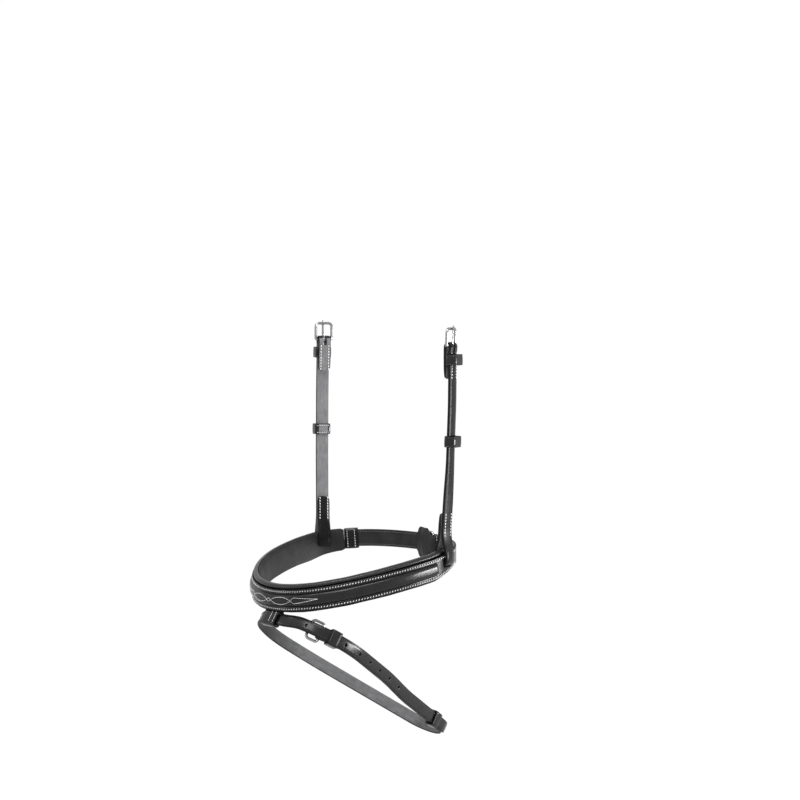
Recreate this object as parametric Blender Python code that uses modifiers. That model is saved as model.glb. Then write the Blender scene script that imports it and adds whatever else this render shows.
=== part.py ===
# Padded bridle noseband with a flash strap.
# Frame: +Z up, +X the horse's left (near) side, -Y the front of the nose.
# The origin is the centre of the space that the muzzle fills. Lengths are in metres.

import math

import bmesh
import bpy
import numpy as np
from mathutils import Matrix, Vector

# Ring that the band lies on: the line along the middle of its outer face
RING_HALF_WIDTH = 0.0985
RING_FRONT_REACH = 0.1193
RING_REAR_REACH = 0.0756
RING_FRONT_DROP = 0.0182
RING_MID_RISE = 0.0044
RING_STATION_STEP = 0.0092

# Nosepiece
NOSE_STRAP_HEIGHT = 0.0200
NOSE_END_HEIGHT = 0.0156
NOSE_STRAP_DROP = 0.0015
NOSE_SKIN = 0.0015
NOSE_BACKING = 0.0018
NOSE_PAD_DEPTH = 0.0052
NOSE_PAD_PROUD = 0.0035
NOSE_LINING = 0.0010
NOSE_LINING_TURN = 0.0022
NOSE_TAPER_LENGTH = 0.050
NOSE_PAST_HANGER = 0.024
PAD_END_DEPTH = 0.0042
RAISE_HEIGHT = 0.0088
RAISE_PROUD = 0.0022
RAISE_SLOPE = 0.0011
RAISE_END_BEFORE_HANGER = 0.0155
RAISE_RUN_OUT = 0.005

# Clearances
LAYER_GAP = 0.0003
SLIDE_GAP = 0.0004
KNUCKLE_GAP = 0.0003
CURVE_GAP = 0.0006
CUT_OVERRUN = 0.004

# Hangers: the straps that carry the band from the headpiece
HANGER_ANGLE = math.radians(105)
HANGER_WIDTH = 0.0130
HANGER_LEATHER = 0.0030
HANGER_RISE = 0.1860
HANGER_LOWER_RUN = 0.070
HANGER_SLIDE_RUN = 0.060
HANGER_SEAT_RUN = 0.034
HANGER_BOW = math.radians(1.5)
HANGER_LEAN_OUT = 0.021
HANGER_LEAN_BACK = 0.025
HANGER_TAB = 0.028
HANGER_TURNED_END = 0.031
LOOP_LEATHER = 0.0028
LOOP_REACH_SHARE = 0.62
LOOP_SADDLE = 0.0015
LOOP_TOP_ROOM = 0.0013
LOOP_PAD_ROOM = 0.0012
KNUCKLE_RIM_DROP = 0.0020
HINGE_INSET = 0.0045

# Buckles
BUCKLE_WIRE = 0.0028
BUCKLE_SIDE_ROOM = 0.0005
BUCKLE_CORNER = 0.0019
HANGER_BUCKLE_LENGTH = 0.0165
TONGUE_WIDTH = 0.0024
TONGUE_THICKNESS = 0.0012
TONGUE_PAST_BAR = 0.0018
TONGUE_SLOT_ROOM = 0.0005
TONGUE_SLOT_RUN = 0.0055

# Keepers and runners
KEEPER_LEATHER = 0.0014
KEEPER_WIDTH = 0.0105
KEEPER_BILLET_ROOM = 0.0046
UPPER_KEEPER_BELOW_BAR = 0.0128
RUNNER_ABOVE_ZONE = 0.026

# Chin strap: a long strap from the off side and a short near one that carries the buckle
CHIN_WIDTH = 0.0170
CHIN_LEATHER = 0.0020
CHIN_LINING = 0.0012
CHIN_NEAR_LEATHER = 0.0022
CHIN_BAR_BEFORE_REAR = 0.0150
CHIN_BUCKLE_LENGTH = 0.0175
CHIN_TURNED_END = 0.029
CHIN_TAIL = 0.034
CHIN_TAIL_DROP = 0.0115
CHIN_HOLE_FROM_BAR = 0.0032
CHIN_HOLE_LENGTH = 0.0105
CHIN_KEEPER_BEFORE_BAR = 0.0180
OFF_KEEPER_WIDTH = 0.0130
OFF_KEEPER_GAP = 0.0014
GUARD_HEIGHT = 0.0300
GUARD_NECK_HEIGHT = 0.0160
GUARD_THICKNESS = 0.0032
GUARD_BEFORE_BAR = 0.0115
GUARD_PAST_BAR = 0.0215
GUARD_FLARE_FROM = -0.0060
GUARD_FLARE_RUN = 0.0080
GUARD_ROUND_RUN = 0.0050

# Flash tab and strap
FLASH_TILT = math.radians(33)
FLASH_WIDTH = 0.0120
FLASH_LEATHER = 0.0026
FLASH_LENGTH = 0.250
FLASH_FRONT_RADIUS = 0.060
FLASH_REAR_RADIUS = 0.024
FLASH_BUCKLE_AT = 0.0545
FLASH_BUCKLE_LENGTH = 0.0127
FLASH_TURNED_END = 0.026
FLASH_KEEPER_AT = 0.0140
FLASH_BAR_ROOM = 0.0013
FLASH_RUNNER_SHORT_OF_TURN = 0.014
FLASH_TAIL_PAST_TURN = 0.016
FLASH_HOLE_RADIUS = 0.0018
FLASH_HOLE_STEP = 0.0190
FLASH_HOLES = 7
FLASH_TONGUE_THICKNESS = 0.0010
FLASH_TONGUE_WIDTH = 0.0020
FLASH_TONGUE_PAST_BAR = 0.0008
FLASH_RING_STEP = 0.008
FLASH_OFF_TAPER = 0.130
FLASH_LIFT = 0.0033
FLASH_LIFT_RUNS = (0.013, 0.035, 0.150, 0.205)
TAB_WIDTH = 0.0200
TAB_LEATHER = 0.0018
TAB_KNUCKLE = 0.0014
TAB_ANCHOR_REACH = 0.0075
TAB_AXIS_INSET = 0.0066
TAB_AXIS_ABOVE_PAD = 0.0014
TAB_RIM_RISE = 0.0015
TAB_ROOM_SIDE = 0.0018

# Shapes given as shares of a piece's own size
RAISE_SHOULDER_SHARE = 0.8
RAISE_FLAT_SHARE = 0.5
RAISE_FADE_SHARES = (0.0, 0.5, 1.0)
FILLER_CORNER_SHARE = 0.6
ANCHOR_CROWN_SHARE = 0.7
ANCHOR_STEP_SHARE = 0.4
PAD_SECTION_SHARES = ((0.18, 0.99), (0.45, 1.0), (0.80, 0.90), (0.97, 0.55))
FOAM_CORNER_SHARE = 0.94
FOAM_SECTION_SHARES = ((0.75, 0.80), (0.93, 0.50))
GUARD_SECTION_SHARES = ((0.0, 0.85), (0.0, -0.85), (0.5, -1.0), (1.0, -0.7), (1.0, 0.7), (0.5, 1.0))
GUARD_TIP_SHARE = 0.6
END_NARROW_SHARE = 0.55
END_LENGTH_SHARE = 0.12
TIP_NARROW_SHARE = 0.4
TIP_LENGTH_SHARE = 0.6
KEEPER_OUTER_CORNER_SHARE = 1.2
KEEPER_WINDOW_CORNER_SHARE = 0.4
LOOP_CORNER_SHARE = 0.3
TAB_CORNER_SHARE = 0.7
TONGUE_POINT_SHARE = 1 / 3
TONGUE_BEND_SHARES = (0.5, 0.9)
TONGUE_TIP_RISE_SHARE = 0.35
TONGUE_TIP_LEAN_SHARE = 0.2
HANGER_CLOSING_SHARE = 2.6
CHIN_CLOSING_SHARE = 2.2
FLASH_CLOSING_SHARE = 2.4
FLASH_TURNED_SHARES = (0.6, 0.2)
FLASH_TIP_SHARES = (0.35, 0.9)
FIRST_HOLE_SHARE = 1.2
MERGE_SHARE = 1 / 30
FLASH_OFF_SHARE = 0.84

# How finely round places are divided, and how far a tongue curls round its bar
TURN_STEPS = 6
CORNER_STEPS = 3
TABLE_STEPS = 2000
TONGUE_CURL = math.radians(380)

COLLECTION = bpy.data.collections.new("bridle_noseband")
CUTTERS = bpy.data.collections.new("cutters")


def clear_scene():
    for obj in list(bpy.data.objects):
        bpy.data.objects.remove(obj, do_unlink=True)
    scene = bpy.context.scene
    scene.collection.children.link(COLLECTION)
    scene.collection.children.link(CUTTERS)


def material(name, colour, roughness, metallic=0.0):
    made = bpy.data.materials.get(name)
    if made:
        return made
    made = bpy.data.materials.new(name)
    made.use_nodes = True
    shader = made.node_tree.nodes["Principled BSDF"]
    shader.inputs["Base Color"].default_value = (*colour, 1.0)
    shader.inputs["Roughness"].default_value = roughness
    shader.inputs["Metallic"].default_value = metallic
    return made


def strap_leather():
    return material("strap_leather", (0.022, 0.021, 0.023), 0.32)


def lining_leather():
    return material("lining_leather", (0.045, 0.044, 0.046), 0.55)


def flesh_leather():
    return material("flesh_leather", (0.12, 0.12, 0.12), 0.7)


def pad_foam():
    return material("pad_foam", (0.30, 0.29, 0.27), 0.9)


def buckle_steel():
    return material("buckle_steel", (0.62, 0.62, 0.64), 0.22, 1.0)


def add_object(name, mesh, finish, origin=Matrix.Identity(4)):
    # The mesh is given in world space and moved back to the object's own origin
    mesh.transform(origin.inverted())
    obj = bpy.data.objects.new(name, mesh)
    obj.matrix_world = origin
    obj.data.materials.append(finish)
    COLLECTION.objects.link(obj)
    return obj


def mesh_from(name, points, faces):
    mesh = bpy.data.meshes.new(name)
    mesh.from_pydata([tuple(p) for p in points], [], faces)
    mesh.update()
    return mesh


def sheet_mesh(name, rows):
    # An open surface from rows of points; every row has as many points
    count = len(rows[0])
    points = [p for row in rows for p in row]
    faces = []
    for i in range(len(rows) - 1):
        for j in range(count - 1):
            a = i * count + j
            faces.append((a, a + 1, a + count + 1, a + count))
    return mesh_from(name, points, faces)


def loft_mesh(name, sections):
    # A closed body through unlike closed sections, capped at both ends
    count = len(sections[0])
    points = [p for section in sections for p in section]
    faces = []
    for i in range(len(sections) - 1):
        for j in range(count):
            a = i * count + j
            b = i * count + (j + 1) % count
            faces.append((a, b, b + count, a + count))
    faces.append(tuple(reversed(range(count))))
    last = (len(sections) - 1) * count
    faces.append(tuple(range(last, last + count)))
    mesh = mesh_from(name, points, faces)
    return face_outward(mesh)


def face_outward(mesh):
    work = bmesh.new()
    work.from_mesh(mesh)
    bmesh.ops.recalc_face_normals(work, faces=work.faces)
    work.to_mesh(mesh)
    work.free()
    return mesh


def thicken(obj, thickness, offset):
    solid = obj.modifiers.new("thickness", "SOLIDIFY")
    solid.thickness = thickness
    solid.offset = offset
    solid.use_even_offset = True
    return obj


def cut(obj, cutter):
    boolean = obj.modifiers.new("cut", "BOOLEAN")
    boolean.operation = "DIFFERENCE"
    boolean.object = cutter
    return obj


def add_cutter(name, mesh, origin):
    obj = bpy.data.objects.new(name, mesh)
    obj.matrix_world = origin
    obj.hide_render = True
    obj.display_type = "WIRE"
    CUTTERS.objects.link(obj)
    return obj


def box_cutter(name, origin, low, high):
    # A block between two corners in the frame of origin
    low, high = Vector(low), Vector(high)
    work = bmesh.new()
    bmesh.ops.create_cube(work, size=1.0)
    size = high - low
    bmesh.ops.scale(work, vec=size, verts=work.verts)
    bmesh.ops.translate(work, vec=(low + high) / 2, verts=work.verts)
    mesh = bpy.data.meshes.new(name)
    work.to_mesh(mesh)
    work.free()
    return add_cutter(name, mesh, origin)


def round_cutter(name, centre, axis, radius, length):
    work = bmesh.new()
    bmesh.ops.create_cone(work, cap_ends=True, segments=4 * TURN_STEPS, radius1=radius,
                          radius2=radius, depth=length)
    mesh = bpy.data.meshes.new(name)
    work.to_mesh(mesh)
    work.free()
    turn = Vector(axis).to_track_quat("Z", "Y").to_matrix().to_4x4()
    return add_cutter(name, mesh, Matrix.Translation(centre) @ turn)


def frame_matrix(x_axis, y_axis, z_axis, origin):
    rows = Matrix((x_axis, y_axis, z_axis)).transposed().to_4x4()
    rows.translation = origin
    return rows


# The ring

def ring_point(phi):
    reach = RING_FRONT_REACH if math.cos(phi) > 0 else RING_REAR_REACH
    height = -RING_FRONT_DROP * math.cos(phi) - RING_MID_RISE * math.cos(2 * phi)
    return Vector((RING_HALF_WIDTH * math.sin(phi), -reach * math.cos(phi), height))


def ring_slope(phi):
    reach = RING_FRONT_REACH if math.cos(phi) > 0 else RING_REAR_REACH
    rise = RING_FRONT_DROP * math.sin(phi) + 2 * RING_MID_RISE * math.sin(2 * phi)
    return Vector((RING_HALF_WIDTH * math.cos(phi), reach * math.sin(phi), rise)).normalized()


ANGLES = np.linspace(-math.pi, math.pi, TABLE_STEPS + 1)
STEPS = [(ring_point(b) - ring_point(a)).length for a, b in zip(ANGLES, ANGLES[1:])]
RUNS = np.cumsum([0] + STEPS)
RING_LENGTH = float(RUNS[-1])


def run_at(phi):
    # Distance along the ring from the centre front, positive towards the near side
    return float(np.interp(phi, ANGLES, RUNS)) - RING_LENGTH / 2


def angle_at(run):
    turned = (run + RING_LENGTH / 2) % RING_LENGTH
    return float(np.interp(turned, RUNS, ANGLES))


def ring_axes(run):
    phi = angle_at(run)
    along = ring_slope(phi)
    out = along.cross(Vector((0, 0, 1))).normalized()
    return ring_point(phi), along, out, out.cross(along)


def ring_place(run, out_by, up_by):
    # A place given by its run along the ring, its depth and its height on the band
    point, along, out, up = ring_axes(run)
    return point + out * out_by + up * up_by


def stations(start, end, step):
    count = max(2, int(math.ceil(abs(end - start) / step)) + 1)
    return [start + (end - start) * i / (count - 1) for i in range(count)]


def smooth_step(value):
    value = min(1.0, max(0.0, value))
    return value * value * (3 - 2 * value)


HANGER_RUN = run_at(HANGER_ANGLE)
NOSE_END = HANGER_RUN + NOSE_PAST_HANGER
RAISE_END = HANGER_RUN - RAISE_END_BEFORE_HANGER
BAND_BASE = NOSE_SKIN + LAYER_GAP + NOSE_BACKING
PAD_FACE = BAND_BASE + LAYER_GAP


def nose_taper(run):
    # 1 on the full-height middle, 0 at the tapered ends
    return smooth_step((NOSE_END - abs(run)) / NOSE_TAPER_LENGTH)


def nose_half_height(run):
    full, end = NOSE_STRAP_HEIGHT / 2, NOSE_END_HEIGHT / 2
    return end + (full - end) * nose_taper(run)


def strap_middle(run):
    # The strap sits low on the padding, so that the padding's roll shows above it
    return -NOSE_STRAP_DROP * nose_taper(run)


def pad_depth(run):
    return PAD_END_DEPTH + (NOSE_PAD_DEPTH - PAD_END_DEPTH) * nose_taper(run)


def raise_share(run):
    return smooth_step((RAISE_END - abs(run)) / RAISE_RUN_OUT)


def nose_stations():
    runs = stations(-NOSE_END, NOSE_END, RING_STATION_STEP)
    for share in RAISE_FADE_SHARES:
        fade = RAISE_END - share * RAISE_RUN_OUT
        runs += [fade, -fade]
    return sorted(runs)


# Nosepiece layers, from the outside in

def make_outer_strap():
    rows = []
    for run in nose_stations():
        half = nose_half_height(run)
        middle = strap_middle(run)
        share = raise_share(run)
        top = RAISE_HEIGHT / 2
        foot = top + RAISE_SLOPE
        lift = RAISE_PROUD * share
        shoulder = lift * RAISE_SHOULDER_SHARE
        flat = top * RAISE_FLAT_SHARE
        profile = [(0, half), (0, foot), (shoulder, top), (lift, flat), (lift, -flat),
                   (shoulder, -top), (0, -foot), (0, -half)]
        rows.append([ring_place(run, depth, middle + height) for depth, height in profile])
    obj = add_object("nose_outer_strap", sheet_mesh("nose_outer_strap", rows), strap_leather())
    return thicken(obj, NOSE_SKIN, -1.0)


def make_raise_filler():
    sections = []
    end = RAISE_END - RAISE_RUN_OUT - LAYER_GAP
    for run in stations(-end, end, RING_STATION_STEP):
        corner = NOSE_SKIN * FILLER_CORNER_SHARE
        face = RAISE_PROUD * RAISE_SHOULDER_SHARE - NOSE_SKIN - LAYER_GAP
        base = -NOSE_SKIN
        top = RAISE_HEIGHT / 2 - corner
        foot = top + (RAISE_SLOPE - corner) / 2
        middle = strap_middle(run)
        profile = [(face, top), (face, -top), (base, -foot), (base, foot)]
        sections.append([ring_place(run, depth, middle + height) for depth, height in profile])
    return add_object("nose_raise_filler", loft_mesh("nose_raise_filler", sections), flesh_leather())


def make_backing():
    rows = []
    for run in stations(-NOSE_END, NOSE_END, RING_STATION_STEP):
        half = nose_half_height(run) - LAYER_GAP
        middle = strap_middle(run)
        depth = -NOSE_SKIN - LAYER_GAP
        rows.append([ring_place(run, depth, middle + side * half) for side in (1, -1)])
    obj = add_object("nose_backing", sheet_mesh("nose_backing", rows), flesh_leather())
    return thicken(obj, NOSE_BACKING, -1.0)


def lining_profile(run):
    # The skin of the roll: a turned-in edge on the backing, round the foam and back
    half = nose_half_height(run)
    middle = strap_middle(run)
    deep = pad_depth(run)
    edge = half + NOSE_PAD_PROUD
    crown = [(deep * inward, edge * high) for inward, high in PAD_SECTION_SHARES]
    upper = [(0, middle + half - NOSE_LINING_TURN), (0, middle + half)] + crown
    foot = [(depth, -height) for depth, height in reversed(crown)]
    lower = foot + [(0, middle - half), (0, middle - half + NOSE_LINING_TURN)]
    return [(-PAD_FACE - depth, height) for depth, height in upper + [(deep, 0)] + lower]


def make_lining():
    rows = []
    for run in stations(-NOSE_END, NOSE_END, RING_STATION_STEP):
        rows.append([ring_place(run, depth, height) for depth, height in lining_profile(run)])
    obj = add_object("nose_lining", sheet_mesh("nose_lining", rows), lining_leather())
    return thicken(obj, NOSE_LINING, 1.0)


def make_foam():
    sections = []
    end = NOSE_END - NOSE_LINING
    inset = NOSE_LINING + LAYER_GAP
    for run in stations(-end, end, RING_STATION_STEP):
        half = nose_half_height(run)
        middle = strap_middle(run)
        deep = pad_depth(run) - inset
        core = half - NOSE_LINING_TURN - LAYER_GAP * 2
        edge = half + NOSE_PAD_PROUD - inset
        neck = inset + LAYER_GAP * 2
        crown = [(neck, edge * FOAM_CORNER_SHARE)]
        crown += [(deep * inward, edge * high) for inward, high in FOAM_SECTION_SHARES]
        foot = [(depth, -height) for depth, height in reversed(crown)]
        profile = [(0, middle + core), (neck, middle + core)] + crown + foot
        profile += [(neck, middle - core), (0, middle - core)]
        sections.append([ring_place(run, -PAD_FACE - depth, height) for depth, height in profile])
    return add_object("nose_foam", loft_mesh("nose_foam", sections), pad_foam())


# Straps: a ribbon laid along a path, then thickened

def strap_mesh(name, path, half_widths, place):
    rows = [[place(a, b, half), place(a, b, -half)] for (a, b), half in zip(path, half_widths)]
    return sheet_mesh(name, rows)


def arc_points(centre, radius, start, end, steps):
    turns = [start + (end - start) * i / steps for i in range(steps + 1)]
    return [(centre[0] + radius * math.cos(t), centre[1] + radius * math.sin(t)) for t in turns]


def rounded_box(low, high, corner):
    # Outline of a box with round corners, anticlockwise
    points = []
    left, right = low[0] + corner, high[0] - corner
    bottom, top = low[1] + corner, high[1] - corner
    centres = [(right, bottom), (right, top), (left, top), (left, bottom)]
    for index, centre in enumerate(centres):
        start = (index - 1) * math.pi / 2
        points += arc_points(centre, corner, start, start + math.pi / 2, CORNER_STEPS)
    return points


def outline_solid(name, outlines, thickness, frame, finish, origin):
    # A flat outline, with its holes, filled and extruded across its own plane
    curve = bpy.data.curves.new(name, "CURVE")
    curve.dimensions = "2D"
    curve.fill_mode = "BOTH"
    curve.extrude = thickness / 2
    for outline in outlines:
        spline = curve.splines.new("POLY")
        spline.points.add(len(outline) - 1)
        for point, place in zip(spline.points, outline):
            point.co = (place[0], place[1], 0, 1)
        spline.use_cyclic_u = True
    return curve_solid(name, curve, frame, finish, origin)


def tube_solid(name, points, radius, frame, finish, origin, closed):
    curve = bpy.data.curves.new(name, "CURVE")
    curve.dimensions = "3D"
    curve.bevel_depth = radius
    curve.bevel_resolution = 2
    curve.use_fill_caps = True
    spline = curve.splines.new("POLY")
    spline.points.add(len(points) - 1)
    for point, place in zip(spline.points, points):
        point.co = (*place, 1)
    spline.use_cyclic_u = closed
    return curve_solid(name, curve, frame, finish, origin)


def curve_solid(name, curve, frame, finish, origin):
    # The curve as a closed mesh with its caps joined on
    guide = bpy.data.objects.new(name + "_guide", curve)
    COLLECTION.objects.link(guide)
    bpy.context.view_layer.update()
    shaped = guide.evaluated_get(bpy.context.evaluated_depsgraph_get())
    mesh = bpy.data.meshes.new_from_object(shaped)
    bpy.data.objects.remove(guide, do_unlink=True)
    work = bmesh.new()
    work.from_mesh(mesh)
    bmesh.ops.remove_doubles(work, verts=work.verts, dist=LAYER_GAP * MERGE_SHARE)
    bmesh.ops.recalc_face_normals(work, faces=work.faces)
    work.to_mesh(mesh)
    work.free()
    mesh.transform(frame)
    mesh.materials.clear()
    return add_object(name, mesh, finish, origin)


# Buckles. Local frame: X from the pivot bar to the front bar, Y along the bars, Z outwards

def make_buckle(name, frame, strap_width, length):
    wire = BUCKLE_WIRE / 2
    half = strap_width / 2 + BUCKLE_SIDE_ROOM + wire
    outline = rounded_box((0, -half), (length, half), BUCKLE_CORNER)
    points = [(x, y, 0) for x, y in outline]
    return tube_solid(name, points, wire, frame, buckle_steel(), frame, True)


def make_tongue(name, frame, length, width, thickness, past_bar, tip_rise):
    # A strip curled round the pivot bar, then straight over the front bar
    ring = BUCKLE_WIRE / 2 + LAYER_GAP + thickness / 2
    path = arc_points((0, 0), ring, TONGUE_CURL, math.pi / 2, 3 * TURN_STEPS)
    tip = length + BUCKLE_WIRE / 2 + past_bar
    path += [(tip * share, ring) for share in TONGUE_BEND_SHARES]
    if tip_rise > 0:
        path.append((tip, ring + tip_rise * TONGUE_TIP_RISE_SHARE))
        path.append((tip + thickness * TONGUE_TIP_LEAN_SHARE, ring + tip_rise))
    else:
        path.append((tip, ring))
    halves = [width / 2] * (len(path) - 1) + [width * TONGUE_POINT_SHARE]

    def place(a, b, across):
        return frame @ Vector((a, across, b))

    mesh = strap_mesh(name, path, halves, place)
    obj = add_object(name, mesh, buckle_steel(), frame)
    return thicken(obj, thickness, 0.0)


def keeper_outlines(low, high):
    # Window and outer edge of a keeper, in its own cross-section
    wall = KEEPER_LEATHER
    outer = rounded_box((low[0] - wall, low[1] - wall), (high[0] + wall, high[1] + wall),
                        wall * KEEPER_OUTER_CORNER_SHARE)
    window = rounded_box(low, high, wall * KEEPER_WINDOW_CORNER_SHARE)
    return [outer, window]


# Hangers. Local frame: X outwards, Y along the band, Z up the hanger

def hanger_frame(side):
    point, along, out, up = ring_axes(side * HANGER_RUN)
    flat_out = Vector((out.x, out.y, 0)).normalized()
    lean = Vector((0, 0, 1)) + Vector((side * HANGER_LEAN_OUT, HANGER_LEAN_BACK, 0))
    lean = lean.normalized()
    across = lean.cross(flat_out).normalized()
    return frame_matrix(across.cross(lean), across, lean, point)


BAND_DEPTH_AT_HANGER = PAD_FACE + pad_depth(HANGER_RUN)
BAND_TOP_AT_HANGER = nose_half_height(HANGER_RUN) + NOSE_PAD_PROUD
KNUCKLE = HANGER_LEATHER + LAYER_GAP
LOOP_CREST = BAND_TOP_AT_HANGER + LOOP_TOP_ROOM + LOOP_SADDLE
HINGE_HEIGHT = LOOP_CREST + KNUCKLE + KNUCKLE_GAP
SLOT_HEIGHT = BAND_TOP_AT_HANGER - LOOP_REACH_SHARE * 2 * BAND_TOP_AT_HANGER


def make_hanger_loop(side_name, frame):
    # Cross-section of the loop round the upper part of the band, through its slot
    leather = LOOP_LEATHER
    inside = (-BAND_DEPTH_AT_HANGER - LOOP_PAD_ROOM, SLOT_HEIGHT + leather / 2)
    outside = (LAYER_GAP, LOOP_CREST - LOOP_SADDLE)
    window = rounded_box(inside, outside, leather * LOOP_CORNER_SHARE)
    hollow = KNUCKLE + KNUCKLE_GAP
    rim = math.asin(KNUCKLE_RIM_DROP / hollow)
    top = HINGE_HEIGHT - KNUCKLE_RIM_DROP
    saddle = arc_points((-HINGE_INSET, HINGE_HEIGHT), hollow, -rim, rim - math.pi, 2 * TURN_STEPS)
    low = (inside[0] - leather, inside[1] - leather)
    high = (outside[0] + leather, outside[1])
    shell = rounded_box(low, (high[0], high[1] + leather), leather)
    shell = [p for p in shell if p[1] < high[1] - leather]
    right = [(high[0], high[1] - leather), (high[0], high[1]),
             (saddle[0][0] + LOOP_SADDLE, top)]
    left = [(saddle[-1][0] - LOOP_SADDLE, top), (low[0], high[1]), (low[0], high[1] - leather)]
    split = max(range(len(shell)), key=lambda i: shell[i][0] + shell[i][1])
    outline = shell[split + 1:] + shell[:split + 1] + right + saddle + left
    flat = frame @ Matrix.Rotation(math.pi / 2, 4, "X")
    name = side_name + "_hanger_loop"
    return outline_solid(name, [outline, window], HANGER_WIDTH, flat, strap_leather(), frame)


def hanger_line():
    # Middle line of the outer layer above the hinge, as (out, up) from the hinge
    runs = [HANGER_LOWER_RUN, HANGER_SLIDE_RUN, HANGER_SEAT_RUN]
    runs.append(HANGER_RISE - sum(runs))
    out, up = KNUCKLE / 2, 0.0
    points = [(out, up)]
    for step, run in enumerate(runs):
        lean = HANGER_BOW * (1 - step)
        out += run * math.tan(lean)
        up += run
        points.append((out, up))
    return points


def line_out_at(up):
    points = hanger_line()
    return float(np.interp(up, [p[1] for p in points], [p[0] for p in points]))


def line_lean_at(up):
    edges = np.cumsum([HANGER_LOWER_RUN, HANGER_SLIDE_RUN, HANGER_SEAT_RUN])
    return HANGER_BOW * (1 - int(np.searchsorted(edges, up)))


def hanger_bar():
    # Place of the buckle's pivot bar, between the strap and its turned-down end
    layers = HANGER_LEATHER + LAYER_GAP
    return line_out_at(HANGER_RISE) - layers / 2, HANGER_RISE


def hanger_path():
    layers = HANGER_LEATHER + LAYER_GAP
    bar_out, bar_up = hanger_bar()
    fold = BUCKLE_WIRE / 2 + LAYER_GAP + HANGER_LEATHER / 2
    tab_out = -KNUCKLE / 2
    tab_lean = math.tan(HANGER_BOW)
    path = [(tab_out + HANGER_TAB * tab_lean, HANGER_TAB), (tab_out, 0)]
    path += arc_points((0, 0), KNUCKLE / 2, math.pi, 2 * math.pi, 2 * TURN_STEPS)[1:]
    closing = bar_up - HANGER_CLOSING_SHARE * fold
    path += [p for p in hanger_line()[1:] if p[1] < closing]
    path.append((line_out_at(closing), closing))
    path += arc_points((bar_out, bar_up), fold, 0, math.pi, 2 * TURN_STEPS)
    path.append((line_out_at(closing) - layers, closing))
    turned = bar_up - HANGER_TURNED_END
    path.append((line_out_at(turned) - layers, turned))
    return path


def make_hanger_strap(side_name, frame, hinge):
    path = hanger_path()
    half = HANGER_WIDTH / 2
    last = len(path) - 1
    halves = [half * END_NARROW_SHARE if i in (0, last) else half for i in range(len(path))]
    path.insert(1, interpolate(path[0], path[1], END_LENGTH_SHARE))
    halves.insert(1, half)
    path.insert(len(path) - 1, interpolate(path[-1], path[-2], END_LENGTH_SHARE))
    halves.insert(len(halves) - 1, half)

    def place(a, b, across):
        return hinge @ Vector((a, across, b))

    name = side_name + "_hanger_strap"
    obj = add_object(name, strap_mesh(name, path, halves, place), strap_leather(), hinge)
    thicken(obj, HANGER_LEATHER, 0.0)
    bar_out, bar_up = hanger_bar()
    slot = TONGUE_WIDTH / 2 + TONGUE_SLOT_ROOM
    reach = BUCKLE_WIRE + HANGER_LEATHER + CUT_OVERRUN
    cutter = box_cutter(name + "_slot", hinge, (bar_out - reach, -slot, bar_up - TONGUE_SLOT_RUN),
                        (bar_out + reach, slot, bar_up + reach))
    return cut(obj, cutter)


def interpolate(a, b, share):
    return (a[0] + (b[0] - a[0]) * share, a[1] + (b[1] - a[1]) * share)


def make_hanger_keeper(name, hinge, up, layers):
    # A keeper round the strap, with room on its outer side for a billet
    out = line_out_at(up)
    half = HANGER_WIDTH / 2 + SLIDE_GAP
    inner = out - HANGER_LEATHER / 2 - (layers - 1) * (HANGER_LEATHER + LAYER_GAP) - SLIDE_GAP
    outer = out + HANGER_LEATHER / 2 + LAYER_GAP + KEEPER_BILLET_ROOM
    lean = line_lean_at(up)
    turn = Matrix.Translation((out, 0, up)) @ Matrix.Rotation(lean, 4, "Y")
    spot = hinge @ turn
    outlines = keeper_outlines((inner - out, -half), (outer - out, half))
    return outline_solid(name, outlines, KEEPER_WIDTH, spot, strap_leather(), spot)


def make_hanger(side, side_name):
    frame = hanger_frame(side)
    hinge = frame @ Matrix.Translation((-HINGE_INSET, 0, HINGE_HEIGHT))
    make_hanger_loop(side_name, frame)
    make_hanger_strap(side_name, frame, hinge)
    keeper_up = HANGER_RISE - UPPER_KEEPER_BELOW_BAR
    make_hanger_keeper(side_name + "_upper_keeper", hinge, keeper_up, 2)
    runner_up = HANGER_LOWER_RUN + RUNNER_ABOVE_ZONE
    make_hanger_keeper(side_name + "_lower_runner", hinge, runner_up, 1)
    bar_out, bar_up = hanger_bar()
    axes = hinge.to_3x3()
    buckle = frame_matrix(axes.col[2], axes.col[1] * -1, axes.col[0],
                          hinge @ Vector((bar_out, 0, bar_up)))
    make_buckle(side_name + "_hanger_buckle", buckle, HANGER_WIDTH, HANGER_BUCKLE_LENGTH)
    make_tongue(side_name + "_hanger_tongue", buckle, HANGER_BUCKLE_LENGTH, TONGUE_WIDTH,
                TONGUE_THICKNESS, TONGUE_PAST_BAR, 0)


def slot_cutter(side, side_name):
    # The slot in the band that the hanger's loop goes through
    frame = hanger_frame(side)
    half = HANGER_WIDTH / 2 + SLIDE_GAP
    reach = BAND_DEPTH_AT_HANGER + CUT_OVERRUN
    low = SLOT_HEIGHT - LOOP_LEATHER / 2 - SLIDE_GAP
    high = SLOT_HEIGHT + LOOP_LEATHER / 2 + SLIDE_GAP
    return box_cutter(side_name + "_slot", frame, (-reach, -half, low), (CUT_OVERRUN, half, high))


# Chin strap. Runs go on past the rear of the ring, so the off side follows the near one

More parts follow.
